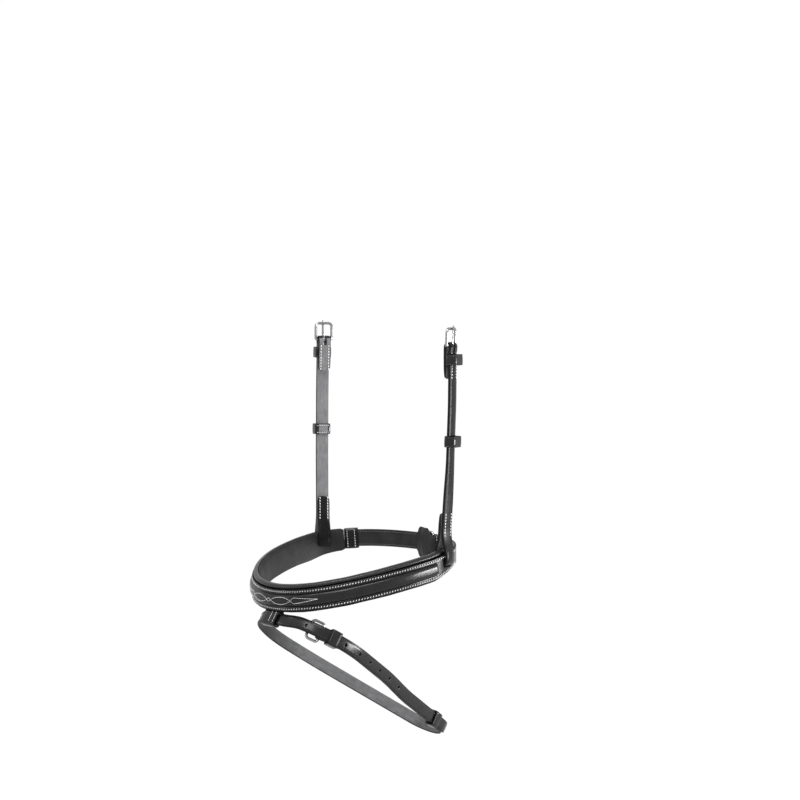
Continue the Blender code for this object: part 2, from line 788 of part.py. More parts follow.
CHIN_BAR_RUN = RING_LENGTH / 2 - CHIN_BAR_BEFORE_REAR
CHIN_FRONT_BAR_RUN = CHIN_BAR_RUN + CHIN_BUCKLE_LENGTH
CHIN_BAND = -CHIN_LEATHER / 2
CHIN_NEAR_BAND = -CHIN_NEAR_LEATHER / 2
CHIN_LAYER = CHIN_NEAR_LEATHER + LAYER_GAP
CHIN_BAR_DEPTH = CHIN_NEAR_BAND - CHIN_LAYER / 2
CHIN_FOLD = BUCKLE_WIRE / 2 + LAYER_GAP + CHIN_NEAR_LEATHER / 2
CHIN_OVER_FOLD = CHIN_BAR_DEPTH + CHIN_FOLD + CHIN_NEAR_LEATHER / 2 + LAYER_GAP + CHIN_LEATHER / 2
CHIN_OVER_NEAR = LAYER_GAP + CHIN_LEATHER / 2
CHIN_FRONT_BAR_DEPTH = CHIN_LEATHER / 2 + BUCKLE_WIRE / 2
CHIN_LINING_FACE = -CHIN_LEATHER - LAYER_GAP - CHIN_LINING


def chin_strap_path():
    # From the off end of the nosepiece, under the front bar and over the near strap
    path = [(run, CHIN_BAND) for run in stations(RING_LENGTH - NOSE_END - LAYER_GAP,
                                                 CHIN_FRONT_BAR_RUN, RING_STATION_STEP)]
    level = CHIN_BAR_RUN + CHIN_FOLD
    climb = stations(CHIN_FRONT_BAR_RUN, level, CHIN_BUCKLE_LENGTH / TURN_STEPS)
    for run in climb[1:]:
        share = smooth_step((CHIN_FRONT_BAR_RUN - run) / (CHIN_FRONT_BAR_RUN - level))
        path.append((run, CHIN_BAND + (CHIN_OVER_FOLD - CHIN_BAND) * share))
    crest = CHIN_BAR_RUN - CHIN_FOLD
    path.append((crest, CHIN_OVER_FOLD))
    for run in stations(crest, crest - CHIN_TAIL_DROP, CHIN_TAIL_DROP / CORNER_STEPS)[1:]:
        share = smooth_step((crest - run) / CHIN_TAIL_DROP)
        path.append((run, CHIN_OVER_FOLD + (CHIN_OVER_NEAR - CHIN_OVER_FOLD) * share))
    tip = CHIN_BAR_RUN - CHIN_TAIL
    path += [(run, CHIN_OVER_NEAR) for run in stations(path[-1][0], tip, RING_STATION_STEP)[1:]]
    return path


def make_chin_strap():
    path = chin_strap_path()
    half = CHIN_WIDTH / 2
    halves = [half] * (len(path) - 1) + [half * TIP_NARROW_SHARE]
    path.insert(len(path) - 1, interpolate(path[-1], path[-2], TIP_LENGTH_SHARE))
    halves.insert(len(halves) - 1, half)
    name = "chin_strap"
    obj = add_object(name, strap_mesh(name, path, halves, ring_place), strap_leather())
    thicken(obj, CHIN_LEATHER, 0.0)
    side = TONGUE_WIDTH / 2 + TONGUE_SLOT_ROOM
    deep = CHIN_FOLD * 2 + CHIN_LEATHER
    cutter = box_cutter(name + "_hole", chin_buckle_frame(), (CHIN_HOLE_FROM_BAR, -side, -deep),
                        (CHIN_HOLE_FROM_BAR + CHIN_HOLE_LENGTH, side, deep))
    return cut(obj, cutter)


def make_chin_lining():
    depth = CHIN_LINING_FACE + CHIN_LINING / 2
    start = RING_LENGTH - NOSE_END - LAYER_GAP
    end = CHIN_FRONT_BAR_RUN + BUCKLE_WIRE / 2
    path = [(run, depth) for run in stations(start, end, RING_STATION_STEP)]
    halves = [CHIN_WIDTH / 2] * len(path)
    name = "chin_strap_lining"
    obj = add_object(name, strap_mesh(name, path, halves, ring_place), lining_leather())
    return thicken(obj, CHIN_LINING, 0.0)


def make_chin_near_strap():
    # From the nosepiece round the pivot bar, its end turned back on the inner side
    bar = (CHIN_BAR_RUN, CHIN_BAR_DEPTH)
    closing = CHIN_BAR_RUN - CHIN_CLOSING_SHARE * CHIN_FOLD
    inner = CHIN_NEAR_BAND - CHIN_LAYER
    start = NOSE_END + LAYER_GAP
    turned = CHIN_BAR_RUN - CHIN_TURNED_END
    path = [(run, CHIN_NEAR_BAND) for run in stations(start, closing, RING_STATION_STEP)]
    path += arc_points(bar, CHIN_FOLD, math.pi / 2, -math.pi / 2, 2 * TURN_STEPS)
    path += [(run, inner) for run in stations(closing, turned, RING_STATION_STEP)]
    half = CHIN_WIDTH / 2
    halves = [half] * (len(path) - 1) + [half * END_NARROW_SHARE]
    name = "chin_near_strap"
    obj = add_object(name, strap_mesh(name, path, halves, ring_place), strap_leather())
    thicken(obj, CHIN_NEAR_LEATHER, 0.0)
    slot = TONGUE_WIDTH / 2 + TONGUE_SLOT_ROOM
    reach = CHIN_FOLD + CHIN_NEAR_LEATHER + CUT_OVERRUN
    cutter = box_cutter(name + "_slot", chin_buckle_frame(), (-TONGUE_SLOT_RUN, -slot, -reach),
                        (reach, slot, reach))
    return cut(obj, cutter)


def chin_buckle_frame():
    pivot = ring_place(CHIN_BAR_RUN, CHIN_BAR_DEPTH, 0)
    front = ring_place(CHIN_FRONT_BAR_RUN, CHIN_FRONT_BAR_DEPTH, 0)
    up = ring_axes(CHIN_BAR_RUN)[3]
    pull = (front - pivot).normalized()
    face = pull.cross(up).normalized()
    return frame_matrix(pull, face.cross(pull), face, pivot)


def make_chin_buckle():
    frame = chin_buckle_frame()
    make_buckle("chin_buckle", frame, CHIN_WIDTH, CHIN_BUCKLE_LENGTH)
    make_tongue("chin_tongue", frame, CHIN_BUCKLE_LENGTH, TONGUE_WIDTH, TONGUE_THICKNESS,
                TONGUE_PAST_BAR, 0)


def make_ring_keeper(name, run, inner, outer, width):
    # A keeper round the chin strap, its window from inner to outer depth
    point, along, out, up = ring_axes(run)
    spot = frame_matrix(out, up, along * -1, point)
    half = CHIN_WIDTH / 2 + SLIDE_GAP
    outlines = keeper_outlines((inner, -half), (outer, half))
    return outline_solid(name, outlines, width, spot, strap_leather(), spot)


def make_chin_keepers():
    near_inner = CHIN_NEAR_BAND - CHIN_LAYER - CHIN_NEAR_LEATHER / 2 - CURVE_GAP
    near_outer = CHIN_OVER_NEAR + CHIN_LEATHER / 2 + CURVE_GAP
    make_ring_keeper("chin_keeper", CHIN_BAR_RUN - CHIN_KEEPER_BEFORE_BAR, near_inner, near_outer,
                     KEEPER_WIDTH)
    off_run = -NOSE_END - OFF_KEEPER_GAP - OFF_KEEPER_WIDTH / 2
    make_ring_keeper("off_end_keeper", off_run, CHIN_LINING_FACE - CURVE_GAP, CURVE_GAP,
                     OFF_KEEPER_WIDTH)


def guard_face(run):
    # Depth of the guard's outer face: under the turned end, the fold and then the lining
    neck = CHIN_NEAR_BAND - CHIN_LAYER - CHIN_NEAR_LEATHER / 2 - LAYER_GAP
    fold = CHIN_BAR_DEPTH - CHIN_FOLD - CHIN_NEAR_LEATHER / 2 - CURVE_GAP
    rest = CHIN_LINING_FACE - CURVE_GAP
    lead = CHIN_BAR_RUN - GUARD_BEFORE_BAR
    if run < CHIN_BAR_RUN:
        share = smooth_step((run - lead) / (GUARD_BEFORE_BAR - CHIN_FOLD * 2))
        return neck + (fold - neck) * share
    share = smooth_step((run - CHIN_BAR_RUN - CHIN_FOLD * 2) / (GUARD_PAST_BAR - CHIN_FOLD * 4))
    return fold + (rest - fold) * share


def make_guard():
    # The padded flap between the buckle and the jaw, narrow at its sewn neck
    start = CHIN_BAR_RUN - GUARD_BEFORE_BAR
    end = CHIN_BAR_RUN + GUARD_PAST_BAR
    neck = GUARD_NECK_HEIGHT / 2
    sections = []
    for run in stations(start, end, GUARD_ROUND_RUN / TURN_STEPS):
        grow = smooth_step((run - CHIN_BAR_RUN - GUARD_FLARE_FROM) / GUARD_FLARE_RUN)
        past = max(0.0, (run - end + GUARD_ROUND_RUN) / GUARD_ROUND_RUN)
        close = math.sqrt(max(0.0, 1 - past * past))
        half = (neck + (GUARD_HEIGHT / 2 - neck) * grow) * max(GUARD_TIP_SHARE, close)
        thick = GUARD_THICKNESS * max(GUARD_TIP_SHARE, close)
        face = guard_face(run)
        profile = [(face - thick * deep, half * high) for deep, high in GUARD_SECTION_SHARES]
        sections.append([ring_place(run, depth, height) for depth, height in profile])
    return add_object("chin_guard", loft_mesh("chin_guard", sections), lining_leather())


# Flash tab and strap. Local frame of the loop: X to the near side, Y along the loop, Z its width

FLASH_LAYER = FLASH_LEATHER + LAYER_GAP
FLASH_FOLD = BUCKLE_WIRE / 2 + LAYER_GAP + FLASH_LEATHER / 2
FLASH_BAR_DEPTH = -FLASH_LAYER - FLASH_FOLD
FLASH_FRONT_BAR_DEPTH = (-FLASH_LEATHER / 2 - FLASH_BAR_ROOM - FLASH_TONGUE_THICKNESS
                         - BUCKLE_WIRE / 2)


def tab_axis():
    point = ring_point(0)
    bottom = nose_half_height(0) + NOSE_PAD_PROUD - TAB_AXIS_ABOVE_PAD
    return Vector((0, point.y + TAB_AXIS_INSET, point.z - bottom))


def flash_frame():
    # Origin at the front of the loop, in the middle of the strap's width
    axis = tab_axis()
    drop = TAB_KNUCKLE + SLIDE_GAP * 2 + FLASH_WIDTH / 2
    turn = Matrix.Rotation(-FLASH_TILT, 4, "X")
    front = axis - (turn @ Vector((0, 0, 1))) * drop
    return Matrix.Translation(front) @ turn


def belt_lengths():
    span = FLASH_LENGTH - FLASH_FRONT_RADIUS - FLASH_REAR_RADIUS
    slant = math.asin((FLASH_FRONT_RADIUS - FLASH_REAR_RADIUS) / span)
    front = FLASH_FRONT_RADIUS * (math.pi / 2 + slant)
    straight = span * math.cos(slant)
    rear = FLASH_REAR_RADIUS * (math.pi / 2 - slant)
    return slant, front, straight, rear


FLASH_SLANT, FLASH_FRONT_ARC, FLASH_STRAIGHT, FLASH_REAR_ARC = belt_lengths()
FLASH_HALF_LOOP = FLASH_FRONT_ARC + FLASH_STRAIGHT + FLASH_REAR_ARC


def belt_point(run, out_by):
    # A place on the loop by its run from the centre front and its depth, in the loop's plane
    lap = 2 * FLASH_HALF_LOOP
    run = (run + FLASH_HALF_LOOP) % lap - FLASH_HALF_LOOP
    side = 1 if run >= 0 else -1
    run = abs(run)
    if run <= FLASH_FRONT_ARC:
        turn = run / FLASH_FRONT_RADIUS
        normal = (math.sin(turn), -math.cos(turn))
        centre = (0, FLASH_FRONT_RADIUS)
        point = (FLASH_FRONT_RADIUS * normal[0], centre[1] + FLASH_FRONT_RADIUS * normal[1])
    elif run <= FLASH_FRONT_ARC + FLASH_STRAIGHT:
        turn = math.pi / 2 + FLASH_SLANT
        normal = (math.sin(turn), -math.cos(turn))
        start = (FLASH_FRONT_RADIUS * normal[0], FLASH_FRONT_RADIUS + FLASH_FRONT_RADIUS * normal[1])
        gone = run - FLASH_FRONT_ARC
        point = (start[0] - gone * normal[1], start[1] + gone * normal[0])
    else:
        turn = math.pi / 2 + FLASH_SLANT + (run - FLASH_FRONT_ARC - FLASH_STRAIGHT) / FLASH_REAR_RADIUS
        normal = (math.sin(turn), -math.cos(turn))
        centre = (0, FLASH_LENGTH - FLASH_REAR_RADIUS)
        point = (FLASH_REAR_RADIUS * normal[0], centre[1] + FLASH_REAR_RADIUS * normal[1])
    across, back = point[0] + normal[0] * out_by, point[1] + normal[1] * out_by
    if side < 0:
        # The off side hangs closer to the middle behind the tab
        narrow = FLASH_OFF_SHARE + (1 - FLASH_OFF_SHARE) * smooth_step(back / FLASH_OFF_TAPER)
        across *= narrow
    return side * across, back


def belt_lift(run):
    # How far the near side of the loop stands above the loop's plane
    run = (run + FLASH_HALF_LOOP) % (2 * FLASH_HALF_LOOP) - FLASH_HALF_LOOP
    start, full, later, end = FLASH_LIFT_RUNS
    return FLASH_LIFT * smooth_step((run - start) / (full - start)) * smooth_step((end - run) / (end - later))


def belt_axes(frame, run, out_by):
    # Place, direction of increasing run, outward normal and width direction, in world space
    x, y = belt_point(run, out_by)
    ahead = Vector((*belt_point(run + LAYER_GAP, out_by), belt_lift(run + LAYER_GAP)))
    behind = Vector((*belt_point(run - LAYER_GAP, out_by), belt_lift(run - LAYER_GAP)))
    turn = frame.to_3x3()
    along = turn @ (ahead - behind).normalized()
    out = along.cross(turn.col[2]).normalized()
    return frame @ Vector((x, y, belt_lift(run))), along, out, out.cross(along)


def flash_path():
    lap = 2 * FLASH_HALF_LOOP
    bar = FLASH_BUCKLE_AT
    closing = bar + FLASH_CLOSING_SHARE * FLASH_FOLD
    turned = -2 * FLASH_LAYER
    path = [(bar + FLASH_TURNED_END, turned), (closing, turned)]
    centre = (bar, FLASH_BAR_DEPTH)
    path += arc_points(centre, FLASH_FOLD, 3 * math.pi / 2, math.pi / 2, 2 * TURN_STEPS)
    off_start, off_end = lap / 2, lap - FLASH_FRONT_ARC
    for run in stations(bar + FLASH_FOLD, off_start, FLASH_RING_STEP):
        path.append((run, -FLASH_LAYER))
    for run in stations(off_start, off_end, FLASH_RING_STEP)[1:]:
        path.append((run, -FLASH_LAYER * (1 - smooth_step((run - off_start) / (off_end - off_start)))))
    tail = lap + FLASH_FRONT_ARC + FLASH_STRAIGHT + FLASH_TAIL_PAST_TURN
    for run in stations(off_end, tail, FLASH_RING_STEP)[1:]:
        path.append((run, 0))
    return path


def make_flash_strap(frame):
    path = flash_path()
    half = FLASH_WIDTH / 2
    turned_width, turned_length = FLASH_TURNED_SHARES
    tip_width, tip_shoulder = FLASH_TIP_SHARES
    halves = [half * turned_width] + [half] * (len(path) - 2) + [half * tip_width]
    path.insert(1, interpolate(path[0], path[1], turned_length))
    halves.insert(1, half)
    path.insert(len(path) - 1, interpolate(path[-1], path[-2], TIP_LENGTH_SHARE))
    halves.insert(len(halves) - 1, half * tip_shoulder)

    def place(a, b, across):
        x, y = belt_point(a, b)
        return frame @ Vector((x, y, across + belt_lift(a)))

    name = "flash_strap"
    obj = add_object(name, strap_mesh(name, path, halves, place), strap_leather(), frame)
    thicken(obj, FLASH_LEATHER, 0.0)
    buckle = flash_buckle_frame(frame)
    slot = FLASH_TONGUE_WIDTH / 2 + TONGUE_SLOT_ROOM
    deep = FLASH_FOLD + FLASH_LEATHER / 2
    cutter = box_cutter(name + "_slot", buckle, (-TONGUE_SLOT_RUN, -slot, -deep - LAYER_GAP),
                        (deep + LAYER_GAP, slot, deep + LAYER_GAP / 2))
    cut(obj, cutter)
    for index, run in enumerate(flash_hole_runs()):
        point, along, out, up = belt_axes(frame, run, 0)
        cut(obj, round_cutter("flash_hole_%d" % index, point, out, FLASH_HOLE_RADIUS,
                              FLASH_LEATHER + LAYER_GAP))
    return obj


def flash_hole_runs():
    first = flash_tip_run()
    later = FLASH_BUCKLE_AT + FLASH_KEEPER_AT + KEEPER_WIDTH * FIRST_HOLE_SHARE
    return [first] + [later + FLASH_HOLE_STEP * i for i in range(FLASH_HOLES - 1)]


def flash_tip_run():
    return FLASH_BUCKLE_AT - FLASH_BUCKLE_LENGTH - BUCKLE_WIRE / 2 - FLASH_TONGUE_PAST_BAR


def flash_buckle_frame(frame):
    pivot, along, out, up = belt_axes(frame, FLASH_BUCKLE_AT, FLASH_BAR_DEPTH)
    front = belt_axes(frame, FLASH_BUCKLE_AT - FLASH_BUCKLE_LENGTH, FLASH_FRONT_BAR_DEPTH)[0]
    pull = (front - pivot).normalized()
    face = up.cross(pull).normalized()
    if face.dot(out) < 0:
        face = -face
    return frame_matrix(pull, face.cross(pull), face, pivot)


def make_flash_buckle(frame):
    buckle = flash_buckle_frame(frame)
    length = (belt_axes(frame, FLASH_BUCKLE_AT - FLASH_BUCKLE_LENGTH, FLASH_FRONT_BAR_DEPTH)[0]
              - buckle.translation).length
    make_buckle("flash_buckle", buckle, FLASH_WIDTH + BUCKLE_WIRE / 2, length)
    make_tongue("flash_tongue", buckle, length, FLASH_TONGUE_WIDTH, FLASH_TONGUE_THICKNESS,
                FLASH_TONGUE_PAST_BAR, FLASH_LEATHER)


def make_flash_keeper(name, frame, run, layers):
    inner = -FLASH_LEATHER / 2 - (layers - 1) * FLASH_LAYER - CURVE_GAP
    outer = FLASH_LEATHER / 2 + CURVE_GAP
    point, along, out, up = belt_axes(frame, run, 0)
    spot = frame_matrix(out, up, out.cross(up), point)
    half = FLASH_WIDTH / 2 + SLIDE_GAP
    outlines = keeper_outlines((inner, -half), (outer, half))
    return outline_solid(name, outlines, KEEPER_WIDTH, spot, strap_leather(), spot)


def make_tab_anchor():
    # A tab let in between strap and padding, hollowed along the swing axis
    axis = tab_axis()
    point = ring_point(0)
    hollow = TAB_KNUCKLE + KNUCKLE_GAP
    bottom = strap_middle(0) - nose_half_height(0)
    front = -NOSE_SKIN - LAYER_GAP
    back = front - NOSE_BACKING
    low = axis.z - point.z + TAB_RIM_RISE
    crown = axis.z - point.z + hollow + TAB_LEATHER * ANCHOR_CROWN_SHARE
    step = crown - TAB_LEATHER * ANCHOR_STEP_SHARE
    rear = -TAB_AXIS_INSET - hollow
    top = bottom + TAB_ANCHOR_REACH
    profile = [(front, top), (back, top), (back, crown), (rear, step), (rear - TAB_LEATHER / 2, low),
               (front, low)]
    runs = stations(-TAB_WIDTH / 2, TAB_WIDTH / 2, TAB_WIDTH / 4)
    sections = [[ring_place(run, depth, height) for depth, height in profile] for run in runs]
    obj = add_object("flash_tab_anchor", loft_mesh("flash_tab_anchor", sections), strap_leather())
    cutter = round_cutter("tab_hollow", axis, (1, 0, 0), hollow, TAB_WIDTH + CUT_OVERRUN)
    return cut(obj, cutter)


def tab_room_cutter():
    # The notch in backing, foam and lining that the anchor sits in
    axis = tab_axis()
    point = ring_point(0)
    bottom = strap_middle(0) - nose_half_height(0)
    front = -NOSE_SKIN - LAYER_GAP / 2
    back = -NOSE_SKIN - LAYER_GAP * 2 - NOSE_BACKING
    hollow = TAB_KNUCKLE + KNUCKLE_GAP
    crown = axis.z - point.z + hollow + TAB_LEATHER * ANCHOR_CROWN_SHARE + LAYER_GAP
    low = -nose_half_height(0) - NOSE_PAD_PROUD - CUT_OVERRUN
    deep = -PAD_FACE - NOSE_PAD_DEPTH - CUT_OVERRUN
    top = bottom + TAB_ANCHOR_REACH + LAYER_GAP
    profile = [(front, top), (back, top), (back, crown), (deep, crown), (deep, low), (front, low)]
    reach = TAB_WIDTH / 2 + TAB_ROOM_SIDE
    sections = [[ring_place(run, depth, height) for depth, height in profile]
                for run in stations(-reach, reach, TAB_WIDTH / 4)]
    return add_cutter("tab_room", loft_mesh("tab_room", sections), Matrix.Identity(4))


def make_tab(frame):
    # The loop that holds the flash strap, with a round top in the anchor's hollow
    turn = frame.to_3x3()
    axis = tab_axis()
    room = SLIDE_GAP * 2
    sag = FLASH_FRONT_RADIUS - math.sqrt(FLASH_FRONT_RADIUS ** 2 - (TAB_WIDTH / 2) ** 2)
    low = (-FLASH_LEATHER / 2 - room, -FLASH_WIDTH / 2 - room)
    high = (FLASH_LEATHER / 2 + room + sag, FLASH_WIDTH / 2 + room)
    window = rounded_box(low, high, TAB_LEATHER * LOOP_CORNER_SHARE)
    drop = TAB_KNUCKLE + SLIDE_GAP * 2 + FLASH_WIDTH / 2
    wall = TAB_LEATHER
    shell = rounded_box((low[0] - wall, low[1] - wall), (high[0] + wall, high[1]),
                        wall * TAB_CORNER_SHARE)
    head = arc_points((0, drop), TAB_KNUCKLE, 0, math.pi, 2 * TURN_STEPS)
    lower = [p for p in shell if p[1] < 0]
    split = max(range(len(lower)), key=lambda i: lower[i][0] + lower[i][1])
    lower = lower[split + 1:] + lower[:split + 1]
    shoulder = high[1] - wall
    outline = lower + [(high[0] + wall, shoulder)] + head + [(low[0] - wall, shoulder)]
    flat = frame_matrix(turn.col[1], turn.col[2], turn.col[0], frame.translation)
    origin = Matrix.Translation(axis)
    return outline_solid("flash_tab", [outline, window], TAB_WIDTH, flat, strap_leather(), origin)


def main():
    clear_scene()
    slots = [slot_cutter(1, "near"), slot_cutter(-1, "off")]
    room = tab_room_cutter()
    make_raise_filler()
    for obj in (make_outer_strap(), make_backing(), make_lining(), make_foam()):
        for slot in slots:
            cut(obj, slot)
        if obj.name != "nose_outer_strap":
            cut(obj, room)
    for side, side_name in ((1, "near"), (-1, "off")):
        make_hanger(side, side_name)
    make_chin_strap()
    make_chin_lining()
    make_chin_near_strap()
    make_chin_buckle()
    make_chin_keepers()
    make_guard()
    frame = flash_frame()
    make_tab_anchor()
    make_tab(frame)
    make_flash_strap(frame)
    make_flash_buckle(frame)
    make_flash_keeper("flash_keeper", frame, FLASH_BUCKLE_AT + FLASH_KEEPER_AT, 3)
    runner_run = FLASH_FRONT_ARC + FLASH_STRAIGHT - FLASH_RUNNER_SHORT_OF_TURN
    make_flash_keeper("flash_runner", frame, runner_run, 2)


main()
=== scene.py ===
import math

import bmesh
import bpy
import numpy as np
from mathutils import Matrix, Vector, noise


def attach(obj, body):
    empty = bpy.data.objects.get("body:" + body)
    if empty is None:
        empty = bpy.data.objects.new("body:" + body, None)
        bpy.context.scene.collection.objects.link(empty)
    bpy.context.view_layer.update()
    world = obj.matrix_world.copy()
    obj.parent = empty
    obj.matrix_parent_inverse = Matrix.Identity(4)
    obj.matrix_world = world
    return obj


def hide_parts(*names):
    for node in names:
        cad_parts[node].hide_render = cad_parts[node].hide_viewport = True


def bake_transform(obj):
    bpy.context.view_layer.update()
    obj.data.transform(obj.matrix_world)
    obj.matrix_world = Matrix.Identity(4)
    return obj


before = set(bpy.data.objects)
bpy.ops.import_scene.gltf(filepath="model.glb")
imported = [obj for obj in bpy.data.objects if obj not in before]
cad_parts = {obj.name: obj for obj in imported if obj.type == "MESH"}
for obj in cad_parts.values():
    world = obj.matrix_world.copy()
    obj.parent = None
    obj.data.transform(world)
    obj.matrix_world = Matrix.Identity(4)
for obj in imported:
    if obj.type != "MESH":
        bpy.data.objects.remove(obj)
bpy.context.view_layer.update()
print("frame loaded")

gap = 0.0003  # between layers of leather


def smoothStep(value):
    value = min(1.0, max(0.0, value))
    return value * value * (3 - 2 * value)


def mix(a, b, share):
    return a + (b - a) * share


def steps(start, end, size):
    count = max(2, int(math.ceil(abs((end - start) / size))) + 1)
    return [start + (end - start) * i / (count - 1) for i in range(count)]


# The ring that the band lies on, in the frame's own metres

ring = {"halfWidth": 0.0985, "frontReach": 0.1193, "rearReach": 0.0756,
        "frontDrop": 0.0182, "midRise": 0.0044}


def ringPoint(phi):
    reach = ring["frontReach"] if math.cos(phi) > 0 else ring["rearReach"]
    height = -ring["frontDrop"] * math.cos(phi) - ring["midRise"] * math.cos(2 * phi)
    return Vector((ring["halfWidth"] * math.sin(phi), -reach * math.cos(phi), height))


def ringSlope(phi):
    reach = ring["frontReach"] if math.cos(phi) > 0 else ring["rearReach"]
    rise = ring["frontDrop"] * math.sin(phi) + 2 * ring["midRise"] * math.sin(2 * phi)
    return Vector((ring["halfWidth"] * math.cos(phi), reach * math.sin(phi), rise)).normalized()


ringAngles = np.linspace(-math.pi, math.pi, 2001)
ringSteps = [(ringPoint(b) - ringPoint(a)).length for a, b in zip(ringAngles, ringAngles[1:])]
ringRuns = np.cumsum([0] + ringSteps)
ringLength = float(ringRuns[-1])


def runAt(phi):
    return float(np.interp(phi, ringAngles, ringRuns)) - ringLength / 2


def ringAxes(run):
    # Place, direction along, outwards and up the band
    phi = float(np.interp((run + ringLength / 2) % ringLength, ringRuns, ringAngles))
    along = (ringSlope(phi - 0.05) + ringSlope(phi) + ringSlope(phi + 0.05)).normalized()
    out = along.cross(Vector((0, 0, 1))).normalized()
    return ringPoint(phi), along, out, out.cross(along)


def ringPlace(run, depth, height):
    point, _, out, up = ringAxes(run)
    return point + out * depth + up * height


# Materials

leatherLook = {"grainSize": 1100, "grainDepth": 0.0004, "poreSize": 2600, "poreDepth": 0.0002,
               "poreShare": 0.6, "patchSize": 70, "patchBump": (0.08, 0.0012), "mottleSize": 480,
               "roughSpread": (0.05, 0.07)}
# handled / shadedEnd is the near-black colour of a painted shade at one end of a strap; that material gets
# the lower shadedEndSheen / shadedEndSheen
fleshLook = {"roughness": 0.78, "specular": 0.2, "sheen": 0.25, "shadedEndSheen": 0.08, "shadedEnd": 0.004,
             "fibreSize": 160, "fibreStretch": (0.5, 6.0, 1.0), "fibreBump": (0.35, 0.0005),
             "blotchSize": 140, "blotchShare": 0.45, "blotchBump": (0.2, 0.0006)}
threadLook = {"roughness": 0.6, "fuzzSize": 5200, "fuzzBump": (0.5, 0.00015), "shade": 0.72}
steelLook = {"colour": (0.30, 0.30, 0.31), "roughness": (0.10, 0.18, 0.24), "smearSize": 160,
             "scratchSize": 1800, "scratchStretch": (1.0, 0.12, 1.0), "scratchBump": (0.05, 0.0001)}


def newMaterial(name, colour, roughness, metallic=0.0):
    made = bpy.data.materials.new(name)
    made.use_nodes = True
    shader = made.node_tree.nodes["Principled BSDF"]
    shader.inputs["Base Color"].default_value = (*colour, 1)
    shader.inputs["Roughness"].default_value = roughness
    shader.inputs["Metallic"].default_value = metallic
    return made, made.node_tree.nodes, made.node_tree.links, shader


def addNoise(nodes, links, source, scale, detail=3.0, stretch=None):
    texture = nodes.new("ShaderNodeTexNoise")
    texture.inputs["Scale"].default_value = scale
    texture.inputs["Detail"].default_value = detail
    if stretch:
        mapping = nodes.new("ShaderNodeMapping")
        mapping.inputs["Scale"].default_value = stretch
        links.new(source, mapping.inputs["Vector"])
        source = mapping.outputs["Vector"]
    links.new(source, texture.inputs["Vector"])
    return texture.outputs["Fac"]


def addRamp(nodes, links, source, stops):
    ramp = nodes.new("ShaderNodeValToRGB")
    links.new(source, ramp.inputs["Fac"])
    elements = ramp.color_ramp.elements
    while len(elements) < len(stops):
        elements.new(0.5)
    for element, (position, colour) in zip(elements, stops):
        element.position = position
        element.color = (*colour, 1) if isinstance(colour, tuple) else (colour, colour, colour, 1)
    return ramp.outputs["Color"]


def addRange(nodes, links, source, low, high, start=0.3, end=0.7):
    mapped = nodes.new("ShaderNodeMapRange")
    mapped.inputs["From Min"].default_value = start
    mapped.inputs["From Max"].default_value = end
    mapped.inputs["To Min"].default_value = low
    mapped.inputs["To Max"].default_value = high
    links.new(source, mapped.inputs["Value"])
    return mapped.outputs["Result"]


def addBump(nodes, links, shader, heights):
    # Each height is a texture output, its strength and its distance in metres
    last = None
    for source, strength, distance in heights:
        bump = nodes.new("ShaderNodeBump")
        bump.inputs["Strength"].default_value = strength
        bump.inputs["Distance"].default_value = distance
        links.new(source, bump.inputs["Height"])
        if last:
            links.new(last, bump.inputs["Normal"])
        last = bump.outputs["Normal"]
    links.new(last, shader.inputs["Normal"])


def leatherMaterial(name, dark, light, roughness, shine, bump, grain=1.0):
    made, nodes, links, shader = newMaterial(name, dark, roughness)
    place = nodes.new("ShaderNodeTexCoord").outputs["Object"]
    patches = addNoise(nodes, links, place, leatherLook["patchSize"], 3)
    mottled = addNoise(nodes, links, place, leatherLook["mottleSize"], 4)
    cells = nodes.new("ShaderNodeTexVoronoi")
    cells.inputs["Scale"].default_value = leatherLook["grainSize"] * grain
    cells.inputs["Randomness"].default_value = 0.9
    links.new(place, cells.inputs["Vector"])
    pores = addNoise(nodes, links, place, leatherLook["poreSize"], 2)
    links.new(addRamp(nodes, links, patches, [(0.35, dark), (0.7, light)]), shader.inputs["Base Color"])
    less, more = leatherLook["roughSpread"]
    uneven = addRange(nodes, links, mottled, roughness - less, roughness + more)
    links.new(uneven, shader.inputs["Roughness"])
    shader.inputs["Specular IOR Level"].default_value = shine
    addBump(nodes, links, shader, [(patches, *leatherLook["patchBump"]),
                                   (cells.outputs["Distance"], bump, leatherLook["grainDepth"]),
                                   (pores, bump * leatherLook["poreShare"], leatherLook["poreDepth"])])
    return made


